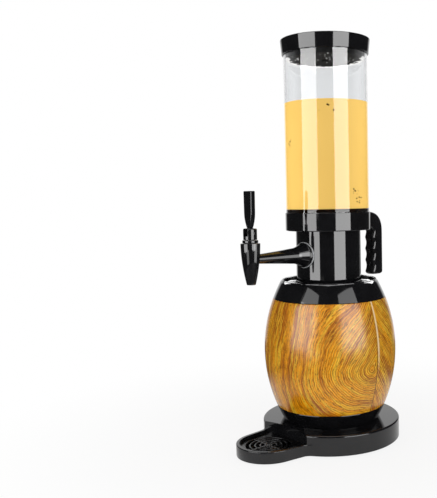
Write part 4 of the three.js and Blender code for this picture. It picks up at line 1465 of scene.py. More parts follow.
@dataclass
class Column:
    """Neck, collar, clear tube, reservoir floor and the drink."""

    shop: Workshop
    neck_radius: float = 0.0475
    neck_wall: float = 0.003
    neck_bottom: float = 0.200
    neck_top: float = 0.3097
    flange_bore: float = 0.030
    flange_thickness: float = 0.004
    collar_radius: float = 0.0622
    collar_edge: float = 0.0012
    collar_bottom: float = 0.307
    collar_top: float = 0.333
    ledge: float = 0.315
    tube_radius: float = 0.0607
    tube_bore: float = 0.0577
    tube_bottom: float = 0.3153
    tube_top: float = 0.5767
    plug_radius: float = 0.0572
    skirt_wall: float = 0.004
    spigot_bore: float = 0.005
    spigot_radius: float = 0.007
    spigot_bottom: float = 0.296
    outlet_depth: float = 0.006
    floor_wall: float = 0.003
    floor_rim: float = 0.003
    rim_foot: float = 0.0062
    rim_shoulder: float = 0.0056
    rim_edge: float = 0.0003
    dish_round: float = 0.001
    floor_top: float = 0.3375
    seal: Seal = Seal(0.328)
    drink_top: float = 0.4893
    drink_gap: float = 0.0002
    overlap: float = 0.0001
    bubble_clear: float = 0.002
    bubbles_bottom: float = 0.345
    clump_reach: float = 0.006
    clump_places: tuple[Point, ...] = (
        (-53, 0.009), (-34, 0.009), (-103, 0.058), (0, 0.128), (7, 0.14), (80, 0.05), (170, 0.09),
    )
    meniscus: tuple[Point, ...] = ((0, 0.0011), (0.0005, 0.0005), (0.0015, 0.0001), (0.004, 0))
    gap: float = 0.0003
    edge: float = 0.0004
    round_edge: float = 0.0006

    def neck(self) -> Shell:
        """The black neck tube with its inner flange."""
        inner, edge = self.neck_radius - self.neck_wall, self.edge
        under = self.neck_top - self.flange_thickness
        return lathe(soften([
            Corner(inner, self.neck_bottom, edge), Corner(self.neck_radius, self.neck_bottom, self.round_edge),
            Corner(self.neck_radius, self.neck_top, edge), Corner(self.flange_bore, self.neck_top, edge),
            Corner(self.flange_bore, under, edge), Corner(inner, under, self.round_edge),
        ]))

    def collar(self) -> Shell:
        """The black collar that holds the tube."""
        seat, wall, edge = self.neck_radius + self.gap, self.tube_radius + self.gap, self.edge
        return lathe(soften([
            Corner(self.flange_bore, self.neck_top + self.gap, edge), Corner(seat, self.neck_top + self.gap),
            Corner(seat, self.collar_bottom, edge), Corner(self.collar_radius, self.collar_bottom, self.collar_edge, 6),
            Corner(self.collar_radius, self.collar_top, self.round_edge), Corner(wall, self.collar_top, edge),
            Corner(wall, self.ledge), Corner(self.flange_bore, self.ledge, edge),
        ]))

    def tube(self) -> Shell:
        """The clear tube."""
        return lathe(soften([
            Corner(self.tube_bore, self.tube_bottom, self.edge), Corner(self.tube_radius, self.tube_bottom, self.edge),
            Corner(self.tube_radius, self.tube_top, self.edge), Corner(self.tube_bore, self.tube_top, self.edge),
        ]), Sides.TUBE)

    def floor(self) -> Shell:
        """The dished floor with its spigot and seal groove."""
        top, out, low, edge = self.floor_top, self.plug_radius, self.tube_bottom, self.edge
        rim, skirt, dish = self.tube_bore + self.overlap, out - self.skirt_wall, out - self.floor_rim
        return lathe(soften([
            Corner(self.spigot_bore, self.spigot_bottom, edge), Corner(self.spigot_radius, self.spigot_bottom, edge),
            Corner(self.spigot_radius, top - self.outlet_depth - self.floor_wall),
            Corner(skirt, top - self.outlet_depth), Corner(skirt, low), Corner(out, low, edge),
            *self.seal.groove(out),
            Corner(out, top - self.rim_foot), Corner(rim, top - self.rim_shoulder), Corner(rim, top, self.rim_edge),
            Corner(dish, top, self.round_edge), Corner(dish, top - self.floor_wall, self.dish_round),
            Corner(self.spigot_bore, top - self.outlet_depth, self.round_edge),
        ]))

    def drink(self) -> Shell:
        """The drink, from the dished floor up to its surface with a raised rim."""
        out, gap, low = self.tube_bore + self.overlap, self.drink_gap, self.floor_top
        outlet, dish = low - self.outlet_depth + gap, self.plug_radius - self.floor_rim
        profile = [(self.spigot_bore - gap, outlet), (dish - 2 * gap, low - self.floor_wall + gap)]
        profile += [(dish - gap / 2, low + gap), (out, low + gap)]
        for inwards, rise in self.meniscus:
            profile.append((out - inwards, self.drink_top + rise))
        profile += [(0.0, self.drink_top), (0.0, outlet)]
        return lathe(profile, Sides.TUBE)

    def bubbles(self, material: Material) -> Mesh:
        """The bubbles that cling to the tube in clumps.

        Args:
            material: Their material.

        Returns:
            Their mesh.
        """
        clumps = []
        for turn, depth in self.clump_places:
            angle = math.radians(turn)
            x, y = self.tube_bore * math.cos(angle), self.tube_bore * math.sin(angle)
            clumps.append(Vector((x, y, self.drink_top - depth)))
        return bubble_pattern(clumps=clumps, reach=self.clump_reach).mesh("drink_bubbles", {
            "Radius": self.tube_bore + self.overlap,
            "Bottom": self.bubbles_bottom,
            "Top": self.drink_top - self.bubble_clear,
            "Density": 50000.0,
            "Smallest": 0.0003,
            "Largest": 0.0015,
            "Seed": 5,
            "Material": material,
        })

    def build(self) -> None:
        """Makes the column's pieces."""
        shop, column, gloss = self.shop, Body.COLUMN, Slot.GLOSS_BLACK
        shop.piece("neck_moulded", self.neck(), column, gloss, ("neck",))
        shop.piece("collar_moulded", self.collar(), column, gloss, ("collar",))
        shop.piece("tube_clear", self.tube(), column, Slot.CLEAR_PLASTIC, ("tube",))
        # Painted shade: the reservoir floor is a brownish black with little gloss, for the dark band of shade at the
        # foot of the drink.
        painted_shade_finish = GlossPlastic("stained_black_plastic", (22, 8, 0), specular=0.1).build()
        shop.piece("reservoir_floor_moulded", self.floor(), column, gloss, ("reservoir_floor",), painted_shade_finish)
        shop.piece("drink", self.drink(), column, None, material=Drink().build())
        shop.piece("tube_seal_ring", self.seal.ring(), column, Slot.RUBBER_BLACK, ("tube_seal",))
        # Painted shade: the bubbles are opaque dark brown, for the shade they show in the drink.
        dark = Rubber("bubble_shade", (60, 30, 4), 0.4, 0.1).build()
        shop.piece("drink_bubbles", self.bubbles(dark), column, None, material=dark)
        shop.dress("outlet_hose", Slot.MILKY_SILICONE)


@dataclass
class Lid:
    """Cap, plug, seal and the froth that clings to the plug."""

    shop: Workshop
    radius: float = 0.065
    skirt_radius: float = 0.0629
    skirt_bottom: float = 0.5595
    skirt_play: float = 0.0005
    top: float = 0.580
    plate: float = 0.003
    edge: float = 0.0016
    soft_edge: float = 0.0004
    skirt_edge: float = 0.0005
    fine_edge: float = 0.0003
    vent: float = 0.002
    rib_inset: float = 0.0045
    rib_wall: float = 0.0025
    rib_depth: float = 0.005
    plug_radius: float = 0.0572
    plug_bottom: float = 0.5525
    plug_top: float = 0.5767
    plug_wall: float = 0.004
    plug_floor: float = 0.0025
    plug_edge: float = 0.0012
    plug_round: float = 0.001
    spout_radius: float = 0.005
    seal: Seal = Seal(0.5675)
    tube_radius: float = 0.0607
    drop_inset: float = 0.002
    drop_clear: float = 0.0001
    froth_width: float = 0.0021
    froth_swell: float = 0.0017
    froth_least: float = 0.0007
    froth_rise: float = 0.001
    froth_turn: float = 137.35
    froth_reach: float = 118.0

    def cap(self) -> Shell:
        """The flared cap with a rib under its plate."""
        under, edge = self.top - self.plate, self.soft_edge
        skirt, rib = self.tube_radius + self.skirt_play, self.plug_radius - self.rib_inset
        inner, low = rib - self.rib_wall, under - self.rib_depth
        return lathe(soften([
            Corner(self.vent, under), Corner(inner, under, edge), Corner(inner, low, edge), Corner(rib, low, edge),
            Corner(rib, under, edge), Corner(skirt, under), Corner(skirt, self.skirt_bottom, self.fine_edge),
            Corner(self.skirt_radius, self.skirt_bottom, self.skirt_edge), Corner(self.radius, self.top - self.edge),
            Corner(self.radius, self.top, self.edge, 8), Corner(self.vent, self.top, edge),
        ]))

    def plug(self) -> Shell:
        """The cup-shaped plug with its seal groove."""
        out, low, thick, edge = self.plug_radius, self.plug_bottom, self.plug_floor, self.soft_edge
        inner = out - self.plug_wall
        return lathe(soften([
            Corner(self.vent, low - thick, self.fine_edge), Corner(self.spout_radius, low - thick, edge),
            Corner(self.spout_radius, low, edge), Corner(out, low, self.plug_edge, 5), *self.seal.groove(out),
            Corner(out, self.plug_top, edge), Corner(inner, self.plug_top, edge),
            Corner(inner, low + thick, self.plug_round), Corner(self.vent, low + thick, self.fine_edge),
        ]))

    def froth_line(self) -> Shell:
        """An uneven line of froth that goes round part of the plug's lower edge, both ways from its middle."""
        count, section = 300, 10
        rings = []
        for i in range(count + 1):
            share = 2 * i / count - 1
            turn = math.radians(self.froth_turn + self.froth_reach * share)
            swell = math.sin(23 * turn + 1.3) * math.sin(7 * turn)
            swell += 0.6 * math.sin(51 * turn + 0.7) + 0.4 * math.sin(13 * turn)
            fade = min(1.0, (1 - abs(share)) * 8 + 0.1)
            width = max(self.froth_least, self.froth_width + self.froth_swell * swell) * fade
            ring = []
            for j in range(section):
                angle = math.tau * j / section
                r = self.plug_radius - width + width * math.cos(angle)
                z = self.plug_bottom + self.froth_rise * fade * math.sin(angle)
                ring.append(Vector((r * math.cos(turn), r * math.sin(turn), z)))
            rings.append(ring)
        return loft(rings)

    def build(self) -> None:
        """Makes the lid's pieces."""
        shop = self.shop
        shop.piece("lid_cap_moulded", self.cap(), Body.LID, Slot.GLOSS_BLACK, ("lid_cap",))
        # A darker, matt copy of the gloss black for the plug. Its darker colour is painted shade under the lid; its
        # dull surface is roughness.
        matt = Rubber("matt_black_plastic", (9, 9, 10), 0.75, 0.04).build()
        shop.piece("lid_plug_moulded", self.plug(), Body.LID, Slot.GLOSS_BLACK, ("lid_plug",), matt)
        shop.piece("lid_seal_ring", self.seal.ring(), Body.LID, Slot.RUBBER_BLACK, ("lid_seal",))
        # The froth line and the droplets under the plug carry the froth's painted glow.
        froth = Froth().build()
        shop.piece("froth_line", self.froth_line(), Body.LID, None, material=froth)
        drops = bubble_pattern(flat=True).mesh("lid_droplets", {
            "Radius": self.plug_radius - self.drop_inset,
            "Bottom": 0.0,
            "Top": self.plug_bottom - self.drop_clear,
            "Density": 5000.0,
            "Smallest": 0.0002,
            "Largest": 0.001,
            "Seed": 4,
            "Material": froth,
        })
        shop.piece("lid_droplets", drops, Body.LID, None, material=froth)


@dataclass
class Tap:
    """Tap body, bonnet, lever and the parts inside."""

    shop: Workshop
    distance: float = 0.142
    arm_height: float = 0.2728
    neck_radius: float = 0.0475
    root_depth: float = 0.004
    flange_back: float = 0.0494
    flange_radius: float = 0.0178
    flange_edge: float = 0.0016
    flare_length: float = 0.020
    flare_power: float = 1.7
    arm_root: float = 0.011
    arm_tip: float = 0.0057
    arm_belly: float = 0.18
    seal_bore: float = 0.0078
    seal_brim: float = 0.0007
    seal_cut: tuple[float, float] = (0.03, 0.06)
    gap: float = 0.0003
    top: float = 0.295
    top_radius: float = 0.0134
    top_edge: float = 0.0005
    top_ease: float = 0.00012
    taper_power: float = 1.85
    spout_radius: float = 0.0062
    spout_bore: float = 0.0042
    spout_bottom: float = 0.2387
    spout_edge: float = 0.0004
    spout_ease: float = 0.0001
    seat_bore: float = 0.0034
    seat_bottom: float = 0.254
    seat_top: float = 0.258
    chamber_radius: float = 0.0056
    chamber_top: float = 0.2887
    mouth_radius: float = 0.0083
    stem_bore: float = 0.0019
    ring_plug: float = 0.008
    ring_bottom: float = 0.289
    ring_radius: float = 0.01075
    ring_top: float = 0.2992
    ring_neck: float = 0.0053
    ring_neck_top: float = 0.3011
    ring_low_edge: float = 0.0007
    ring_high_edge: float = 0.0009
    bonnet_bore: float = 0.0056
    bonnet_radius: float = 0.00935
    bonnet_top: float = 0.3148
    bonnet_round: float = 0.0036
    bonnet_edge: float = 0.0005
    slot_edge: float = 0.0006
    slot_width: float = 0.0104
    slot_depth: float = 0.012
    slot_top: float = 0.32
    pivot: float = 0.308
    pin_hole: float = 0.00135
    pin_reach: float = 0.012
    knuckle_bore: float = 0.0014
    knuckle_radius: float = 0.004
    knuckle_half: float = 0.0036
    knuckle_edge: float = 0.0005
    cut: tuple[float, float] = (0.22, 0.32)

    @property
    def axis(self) -> Matrix:
        """Moves a shell from the tower's axis to the tap's."""
        return Matrix.Translation((0, -self.distance, 0))

    def bullet(self) -> Shell:
        """The tapering tap barrel with its open spout."""
        top, edge, low, lip, bore = self.top, self.top_edge, self.spout_bottom, self.spout_edge, self.spout_bore
        profile = [(self.mouth_radius, self.chamber_top), (self.mouth_radius, top), (self.top_radius - 2 * edge, top)]
        profile.append((self.top_radius - edge, top - self.top_ease))
        for i in range(25):
            down = i / 24
            radius = self.top_radius - (self.top_radius - self.spout_radius) * down ** self.taper_power
            profile.append((radius, top - edge - (top - 2 * edge - low) * down))
        profile += [
            (self.spout_radius - lip, low + self.spout_ease), (self.spout_radius - 2 * lip, low), (bore + lip, low),
            (bore, low + lip), (bore, self.seat_bottom), (self.seat_bore, self.seat_bottom),
            (self.seat_bore, self.seat_top), (self.chamber_radius, self.seat_top),
            (self.chamber_radius, self.chamber_top),
        ]
        return lathe(profile, Sides.TAP).moved(self.axis)

    def arm(self) -> Shell:
        """The trumpet arm, seated on the neck's curve."""
        start, flange, edge = self.neck_radius - self.root_depth, self.flange_back, self.flange_edge
        rim = self.flange_radius - edge / 2
        profile: list[Point] = [(0, start), (self.flange_radius, start), (self.flange_radius, flange + edge / 2)]
        profile += arc((rim, flange + edge / 2), edge / 2, 0, 90, 4)[1:]
        for i in range(1, 21):
            along = i / 20
            drop = 1 - (1 - along) ** self.flare_power
            reach = flange + edge + (self.flare_length - edge) * along
            profile.append((rim - (rim - self.arm_root) * drop, reach))
        end = flange + self.flare_length
        for i in range(1, 13):
            along = i / 12
            ease = along + self.arm_belly * along * (1 - along)
            profile.append((self.arm_root + (self.arm_tip - self.arm_root) * ease, end + (self.distance - end) * along))
        profile.append((0, self.distance))
        turned = lathe(profile, Sides.TAP).moved(laid(self.arm_height, Axis.X))
        return carve(turned, (Carving.CUT, drum(0, flange, *self.cut)))

    def seal(self) -> Shell:
        """The thin seal between flange and neck."""
        disc = drum(self.seal_bore, self.flange_radius + self.seal_brim, *self.seal_cut, Sides.TAP)
        sheet = drum(self.neck_radius + self.gap, self.flange_back - self.gap, *self.cut)
        return carve(disc.moved(laid(self.arm_height, Axis.X)), (Carving.TRIM, sheet))

    def bonnet_ring(self) -> Shell:
        """The ring between tap body and bonnet."""
        bottom, plug, neck = self.top + self.gap, self.ring_plug, self.ring_neck
        return lathe(soften([
            Corner(self.stem_bore, self.ring_bottom), Corner(plug, self.ring_bottom), Corner(plug, bottom),
            Corner(self.ring_radius, bottom, self.ring_low_edge),
            Corner(self.ring_radius, self.ring_top, self.ring_high_edge, 5),
            Corner(neck, self.ring_top), Corner(neck, self.ring_neck_top), Corner(self.stem_bore, self.ring_neck_top),
        ]), Sides.TAP).moved(self.axis)

    def bonnet(self) -> Shell:
        """The domed bonnet with a slot for the lever and a pin hole."""
        bottom, bore, depth = self.ring_top + self.gap, self.bonnet_bore, self.slot_depth
        dome = lathe(soften([
            Corner(bore, bottom), Corner(self.bonnet_radius, bottom, self.bonnet_edge),
            Corner(self.bonnet_radius, self.bonnet_top, self.bonnet_round, 8),
            Corner(bore, self.bonnet_top, self.slot_edge),
        ]), Sides.TAP)
        section = [(x, y - depth / 2) for x, y in rounded_box(self.slot_width, depth, self.slot_edge, 3)]
        slot = prism(section, self.pivot - self.knuckle_half, self.slot_top)
        pin = drum(0, self.pin_hole, -self.pin_reach, self.pin_reach, Sides.LEG).moved(laid(self.pivot, Axis.Y))
        return carve(dome, (Carving.CUT, slot), (Carving.CUT, pin)).moved(self.axis)

    def lever(self) -> Shell:
        """The paddle lever with its waist, and the knuckle on the pin."""
        rows = (
            (0.3095, 0.0072, 0.0072, 0.0035), (0.3145, 0.0072, 0.0072, 0.0035), (0.3160, 0.0086, 0.0070, 0.0028),
            (0.3190, 0.0100, 0.0070, 0.0016), (0.3235, 0.0124, 0.0071, 0.0010), (0.3275, 0.0143, 0.0072, 0.0009),
            (0.3310, 0.0156, 0.0072, 0.0009), (0.3360, 0.01625, 0.0072, 0.0009), (0.3500, 0.0166, 0.0072, 0.0009),
            (0.3632, 0.0169, 0.0072, 0.0009), (0.3641, 0.0167, 0.0070, 0.0009), (0.3647, 0.0160, 0.0063, 0.0009),
        )
        rings = [
            [Vector((x, y, height)) for x, y in rounded_box(width, depth, corner, 5)]
            for height, width, depth, corner in rows
        ]
        bore, out, half = self.knuckle_bore, self.knuckle_radius, self.knuckle_half
        knuckle = lathe(soften([
            Corner(bore, -half), Corner(out, -half, self.knuckle_edge), Corner(out, half, self.knuckle_edge),
            Corner(bore, half),
        ]), Sides.BOLT)
        return loft(rings).joined(knuckle.moved(laid(self.pivot, Axis.Y))).moved(self.axis)

    def build(self) -> None:
        """Makes the tap's pieces."""
        shop, gloss = self.shop, Slot.GLOSS_BLACK
        shop.piece("tap_barrel_moulded", self.bullet().joined(self.arm()), Body.COLUMN, gloss, ("tap_body",))
        # The seal's pale colour is partly a painted highlight along the flange's edge.
        shop.piece("flange_seal_ring", self.seal(), Body.COLUMN, Slot.SEAL_GREY, ("flange_seal",))
        shop.piece("bonnet_ring_moulded", self.bonnet_ring(), Body.COLUMN, gloss, ("bonnet_ring",))
        shop.piece("bonnet_moulded", self.bonnet(), Body.COLUMN, gloss, ("bonnet",))
        shop.piece("lever_moulded", self.lever(), Body.LEVER, gloss, ("lever",), sharp=BLENDED_SHARP_DEGREES)
        for node in ("tap_shank", "shank_nut", "lever_pin", "plunger_stem"):
            shop.dress(node, Slot.STEEL)
        for node in ("shank_washer", "plunger_seal"):
            shop.dress(node, Slot.RUBBER_BLACK)


@dataclass
class Handle:
    """Side handle with finger grooves, hooked into the collar."""

    shop: Workshop
    outer: float = 0.1085
    width: float = 0.020
    corner: float = 0.006
    top: float = 0.3315
    under: float = 0.307
    root: tuple[float, float] = (0.058, 0.070)
    crest: float = 0.0836
    groove: float = 0.0028
    groove_floor: float = 0.02
    groove_steps: int = 18
    first_crest: float = 0.2918
    pitch: float = 0.0177
    grooves: int = 3
    end_drop: float = 0.0045
    end_steps: int = 8
    end_shrink: float = 0.8
    end_lip: float = 0.0002
    throat: float = 0.008
    bend_steps: int = 24
    squareness: float = 2.5
    collar_radius: float = 0.0625
    cut: tuple[float, float] = (0.25, 0.35)
    tongue_half: float = 0.007
    tongue_bottom: float = 0.3092
    tongue_top: float = 0.3128
    tongue_reach: tuple[float, float] = (0.0502, 0.0665)

    def ring(self, inner: Point, outer: Point, width: float, corner: float) -> list[Vector]:
        """One section, set across the stretch between two points in (y, z).

        Args:
            inner: Inner point.
            outer: Outer point.
            width: Width along X.
            corner: Radius of the section's corners.

        Returns:
            The section's points.
        """
        start, end = Vector(inner), Vector(outer)
        middle, out = (start + end) / 2, end - start
        depth = out.length
        out.normalize()
        ring = []
        for across, along in rounded_box(width, depth, corner, 6):
            spot = middle + out * along
            ring.append(Vector((across, spot.x, spot.y)))
        return ring

    def rings(self) -> list[list[Vector]]:
        """Sections from the collar round the bend and down the grip."""
        width, corner = self.width, self.corner
        rings = [self.ring((y, self.under), (y, self.top), width, corner) for y in self.root]
        throat = Vector((self.crest + self.groove - self.throat, self.under - self.throat))
        top_reach, side_reach = self.top - throat.y, self.outer - throat.x
        for i in range(self.bend_steps + 1):
            angle = math.pi / 2 * (1 - i / self.bend_steps)
            out = Vector((math.cos(angle), math.sin(angle)))
            across = (abs(out.x) / side_reach) ** self.squareness
            upward = (abs(out.y) / top_reach) ** self.squareness
            reach = (across + upward) ** (-1 / self.squareness)
            rings.append(self.ring(throat + out * self.throat, throat + out * reach, width, corner))
        for i in range(self.grooves * self.groove_steps + 1):
            along = i / self.groove_steps
            height = self.first_crest - self.pitch * along
            hollow = self.groove * (abs(math.sin(math.pi * along)) ** 2 + self.groove_floor) ** 0.5
            rings.append(self.ring((self.crest + hollow, height), (self.outer, height), width, corner))
        last = self.first_crest - self.grooves * self.pitch
        for i in range(1, self.end_steps + 1):
            angle = math.pi / 2 * i / self.end_steps
            height = last - self.end_drop * math.sin(angle)
            shrink = corner * (1 - math.cos(angle)) * self.end_shrink
            inner, outer = (self.crest + shrink + self.end_lip, height), (self.outer - shrink, height)
            rings.append(self.ring(inner, outer, width - 2 * shrink, corner - shrink / 2))
        return rings

    def build(self) -> None:
        """Makes the handle's pieces."""
        half, low, high = self.tongue_half, self.tongue_bottom, self.tongue_top
        section = ((-half, low), (half, low), (half, high), (-half, high))
        tongue = loft([[Vector((x, y, z)) for x, z in section] for y in self.tongue_reach])
        grip = carve(loft(self.rings()), (Carving.CUT, drum(0, self.collar_radius, *self.cut, Sides.DISC)))
        grip, sharp = grip.joined(tongue), BLENDED_SHARP_DEGREES
        self.shop.piece("handle_moulded", grip, Body.COLUMN, Slot.SATIN_BLACK, ("handle",), sharp=sharp)


@dataclass
class Screws:
    """Pan head screws of the base plate, the neck and the handle."""

    shop: Workshop
    head_radius: float = 0.003
    head_height: float = 0.0018
    head_edge: float = 0.0009
    brim_edge: float = 0.0002
    shank_radius: float = 0.0015
    tip_radius: float = 0.0006
    tip_length: float = 0.001
    recess_width: float = 0.0008
    recess_length: float = 0.0034
    recess_depth: float = 0.0011
    recess_corner: float = 0.0002
    pair_half: float = 0.004
    pair_reach: float = 0.0562
    pair_height: float = 0.3049
    pair_length: float = 0.0058

    def screw(self, length: float) -> Shell:
        """One screw with its head down at the origin and a cross recess in it.

        Args:
            length: Length of the shank.

        Returns:
            The screw.
        """
        head, tip = self.head_height, self.head_height + length
        body = lathe(soften([
            Corner(0, 0), Corner(self.head_radius, 0, self.head_edge, 5),
            Corner(self.head_radius, head, self.brim_edge, 2),
            Corner(self.shank_radius, head), Corner(self.shank_radius, tip - self.tip_length),
            Corner(self.tip_radius, tip), Corner(0, tip),
        ]), Sides.SCREW)
        section = rounded_box(self.recess_length, self.recess_width, self.recess_corner, 2)
        blade = prism(section, -OVERRUN, self.recess_depth)
        turns = (Matrix.Rotation(math.radians(turn), 4, "Z") for turn in (0, 90))
        return carve(body, *((Carving.CUT, blade.moved(turn)) for turn in turns))

    def build(self) -> None:
        """Makes all screws."""
        pattern = screw_ring_pattern()
        for name, count, body, circle, turn, height, length in (
            ("base_screw", 4, Body.BASE, 0.082, 45, 0.0018, 0.012),
            ("column_screw", 3, Body.COLUMN, 0.038, 90, 0.3036, 0.014),
        ):
            master = add_object(name + "_master", self.screw(length).mesh(name + "_master"))
            mesh = pattern.mesh(name + "s", {
                "Count": count,
                "Circle Radius": circle,
                "Turn": math.radians(turn),
                "Height": height,
                "Screw": master,
                "Material": self.shop.finishes[Slot.STEEL],
            })
            discard(master)
            nodes = [f"{name}_{i}" for i in range(1, count + 1)]
            self.shop.piece(name + "s", mesh, body, Slot.STEEL, nodes)
        pair = Shell()
        for x in (-self.pair_half, self.pair_half):
            place = Matrix.Translation((x, self.pair_reach, self.pair_height))
            pair = pair.joined(self.screw(self.pair_length).moved(place))
        self.shop.piece("handle_screws", pair, Body.COLUMN, Slot.STEEL, ("handle_screw_1", "handle_screw_2"))


# Studio


@dataclass(frozen=True)
class Panel:
    """An upright lamp that faces the tower.

    Its offset is the angle from the camera in degrees, positive towards the picture's right. A radiance of 1 is white.
    A mirrored panel is seen only in gloss, and another only lights what it falls on.
    """

    name: str
    offset: float
    width: float
    low: float
    high: float
    radiance: float
    mirrored: bool = True


@dataclass
class Studio:
    """Camera, lamps, floor and world."""

    azimuth: float = 47.35
    distance: float = 1.0662
    height: float = 0.3542
    pitch: float = 4.058
    roll: float = 0.99
    focal_px: float = 725.0
    frame_px: float = 498.0
    sensor: float = 36.0
    axis_px: float = 109.87
    accent_reach: float = 1.57
    softbox_reach: float = 1.6
    fill_reach: float = 1.63
    back_reach: float = 2.2
    overhead_size: float = 1.1
    overhead_height: float = 2.3
    overhead_radiance: float = 3.5
    floor_radius: float = 0.85

    def direction(self, offset: float) -> Vector:
        """Level direction from the object, turned from the camera's own."""
        turn = math.radians(self.azimuth + offset)
        return Vector((math.sin(turn), -math.cos(turn), 0))

    def camera(self) -> None:
        """Sets up the camera."""
        data = bpy.data.cameras.new("camera")
        data.sensor_width = self.sensor
        data.lens = self.focal_px / self.frame_px * self.sensor
        data.shift_x = -self.axis_px / self.frame_px
        data.clip_start, data.clip_end = 0.05, 50
        eye = add_object("camera", data)
        pitch, roll = math.radians(self.pitch), math.radians(self.roll)
        forward = -self.direction(0) * math.cos(pitch) - Vector((0, 0, math.sin(pitch)))
        right = forward.cross(Vector((0, 0, 1))).normalized()
        up = right.cross(forward)
        rolled_up = up * math.cos(roll) + right * math.sin(roll)
        rolled_right = right * math.cos(roll) - up * math.sin(roll)
        turn = Matrix((rolled_right, rolled_up, -forward)).transposed().to_4x4()
        place = self.direction(0) * self.distance + Vector((0, 0, self.height))
        eye.matrix_world = Matrix.Translation(place) @ turn
        bpy.context.scene.camera = eye

    def lamp(self, name: str, width: float, depth: float, radiance: float) -> Object:
        """Adds a rectangular lamp that the camera and the tube don't show.

        Args:
            name: Name of the lamp.
            width: Its width.
            depth: Its other size.
            radiance: Brightness, where 1 is white.

        Returns:
            The lamp.
        """
        data = bpy.data.lights.new(name, "AREA")
        data.shape = "RECTANGLE"
        data.size, data.size_y = width, depth
        data.energy = radiance * math.pi * width * depth
        lamp = add_object(name, data)
        lamp.visible_camera = lamp.visible_transmission = False
        return lamp

    def softbox(self, panel: Panel, reach: float) -> Object:
        """Adds an upright lamp that faces the tower.

        Args:
            panel: The lamp's place, size and light.
            reach: Its distance from the tower.

        Returns:
            The lamp.
        """
        lamp = self.lamp(panel.name, panel.width, panel.high - panel.low, panel.radiance)
        out = self.direction(panel.offset)
        lamp.location = out * reach + Vector((0, 0, (panel.low + panel.high) / 2))
        lamp.rotation_euler = out.to_track_quat("Z", "Y").to_euler()
        lamp.visible_glossy, lamp.visible_diffuse = panel.mirrored, not panel.mirrored
        return lamp

    def softboxes(self) -> None:
        """Adds the lamps round the tower and the one above it."""
        for side, low, rest, gloss, glow in (
            ("left", (-49.5, 1.11), (-46.5, 1.3), 5.0, 0.6),
            ("right", (41, 1.2), (41, 1.2), 5.4, 0.92),
        ):
            for part, (offset, width), bottom, top, share in (
                ("low", low, 0.02, 0.31, 1.0), ("middle", rest, 0.31, 1.1, 1.0), ("high", rest, 1.1, 1.62, 0.36),
            ):
                panel = Panel(f"{side}_softbox_{part}", offset, width, bottom, top, share * gloss)
                self.softbox(panel, self.softbox_reach)
            self.softbox(Panel(side + "_fill", rest[0], 1.2, 0.02, 1.75, glow, False), self.fill_reach)
        self.softbox(Panel("back_fill", 180, 1.2, 0.9, 2.0, 1.0, False), self.back_reach)
        self.softbox(Panel("front_fill", 0, 1.2, 0.02, 1.75, 0.6, False), self.softbox_reach)
        self.softbox(Panel("low_softbox", -30, 0.7, -0.25, 0.05, 2.0), self.softbox_reach)
        lamp = self.lamp("overhead_softbox", self.overhead_size, self.overhead_size, self.overhead_radiance)
        lamp.location = (0, 0, self.overhead_height)
        lamp.visible_diffuse = False

    def accents(self, pieces: dict[str, Object]) -> None:
        """Adds the lamps that fall on one piece each.

        Args:
            pieces: The pieces by name.
        """
        for piece, panel in (
            ("tap_barrel_moulded", Panel("arm_strip", 66, 1.0, -0.25, 0.75, 3.0)),
            ("barrel_cap_moulded", Panel("dish_glint", -146, 0.8, 0.85, 1.7, 9.0)),
            ("barrel_cap_moulded", Panel("dish_glint", 138, 0.8, 0.85, 1.7, 9.0)),
            ("tube_clear", Panel("under_lid", -46.5, 1.3, 0.8, 1.1, 4.2)),
            ("tube_clear", Panel("under_lid", 41, 1.2, 0.8, 1.1, 5.9)),
            ("drink", Panel("drink_glow", -98, 1.2, 0.1, 1.2, 15.0, False)),
            ("drink", Panel("drink_glow", 106, 1.2, 0.1, 1.2, 12.0, False)),
        ):
            lit = bpy.data.collections.new(panel.name + "_receiver")
            lit.objects.link(pieces[piece])
            self.softbox(panel, self.accent_reach).light_linking.receiver_collection = lit

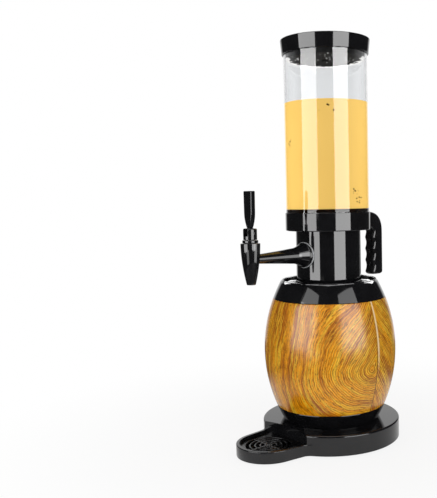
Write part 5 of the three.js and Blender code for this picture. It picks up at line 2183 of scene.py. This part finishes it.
    def floor(self) -> None:
        """Adds the pale floor, white to the camera but for the object's soft shadow."""
        mesh = bpy.data.meshes.new("floor")
        rim = arc((0, 0), self.floor_radius, 0, 360, 96)[:-1]
        mesh.from_pydata([(x, y, 0) for x, y in rim], [], [tuple(range(len(rim)))])
        coat = Coating("pale_floor")
        grain = coat.noise(coat.place(), 3, 2)
        tree = coat.tree
        path = tree.node("ShaderNodeLightPath")
        away = tree.signal("ShaderNodeVectorMath", "Value", {0: coat.place()}, {"operation": "LENGTH"})
        glossy, seen = (Signal(tree, path.outputs[name]) for name in ("Is Glossy Ray", "Is Camera Ray"))
        pale = coat.blend(grain.ramp(*NOISE_RANGE), srgb(238, 238, 238), srgb(242, 242, 242))
        coat.set(Base_Color=coat.blend(glossy * away.ramp(0.2, 0.4), pale, srgb(70, 70, 70)), Roughness=0.8)
        white = tree.node("ShaderNodeEmission", {"Color": (1, 1, 1, 1), "Strength": 1.0})
        coat.cover(seen * away.ramp(0.1, 0.6, 0.86, 1.0) + glossy * away.ramp(0.2, 0.35, 0.6, 0.0), white.outputs[0])
        mesh.materials.append(coat.material)
        add_object("floor", mesh)

    def world(self) -> None:
        """Sets a white background behind the object and a calm surround elsewhere."""
        world = bpy.data.worlds.new("studio")
        bpy.context.scene.world = world
        world.use_nodes = True
        world.node_tree.nodes.clear()
        tree = Tree(world.node_tree)
        view = tree.signal("ShaderNodeTexCoord", "Generated")
        behind = tuple(-self.direction(0))
        facing = tree.signal("ShaderNodeVectorMath", "Value", {0: view, 1: behind}, {"operation": "DOT_PRODUCT"})
        path = tree.node("ShaderNodeLightPath")
        camera, sent, scattered, mirrored = (
            Signal(tree, path.outputs[name]).math("MINIMUM", 1.0)
            for name in ("Is Camera Ray", "Is Transmission Ray", "Diffuse Depth", "Glossy Depth")
        )
        high = tree.signal("ShaderNodeSeparateXYZ", 2, {0: view})
        abeam = facing / (1 - high * high).math("MAXIMUM", 0.01).math("SQRT")
        backdrop = abeam.ramp(0.80, 0.92) * high.ramp(0.5, 0.62, 0.92, 0.0) + 0.03
        level = scattered * 0.5 + (1 - scattered) * backdrop
        seen_back = 1 - mirrored * facing.ramp(-0.2, 0.3, 0.82, 0.0)
        direct = (camera + sent * (1 - scattered) * seen_back).math("MINIMUM", 1.0)
        strength = direct + (1 - direct) * level
        shade = tree.node("ShaderNodeBackground", {"Color": (1, 1, 1, 1), "Strength": strength})
        tree.node("ShaderNodeOutputWorld", {"Surface": shade.outputs[0]})

    def build(self) -> None:
        """Sets up the studio."""
        self.camera()
        self.softboxes()
        self.floor()
        self.world()
        bpy.context.scene.view_settings.view_transform = "Standard"


def main() -> None:
    """Builds the studio and the tower in order, and logs how many pieces it made."""
    logging.basicConfig(level=logging.INFO, format="%(message)s")
    studio = Studio()
    studio.build()
    shop = Workshop(make_finishes())
    stand = Stand(shop)
    stand.build()
    for assembly in (DripGrill(shop, stand), *(make(shop) for make in (Barrel, Column, Lid, Tap, Handle, Screws))):
        assembly.build()
    studio.accents(shop.pieces)
    log.info("%d pieces", len(shop.pieces))


if __name__ == "__main__":
    main()
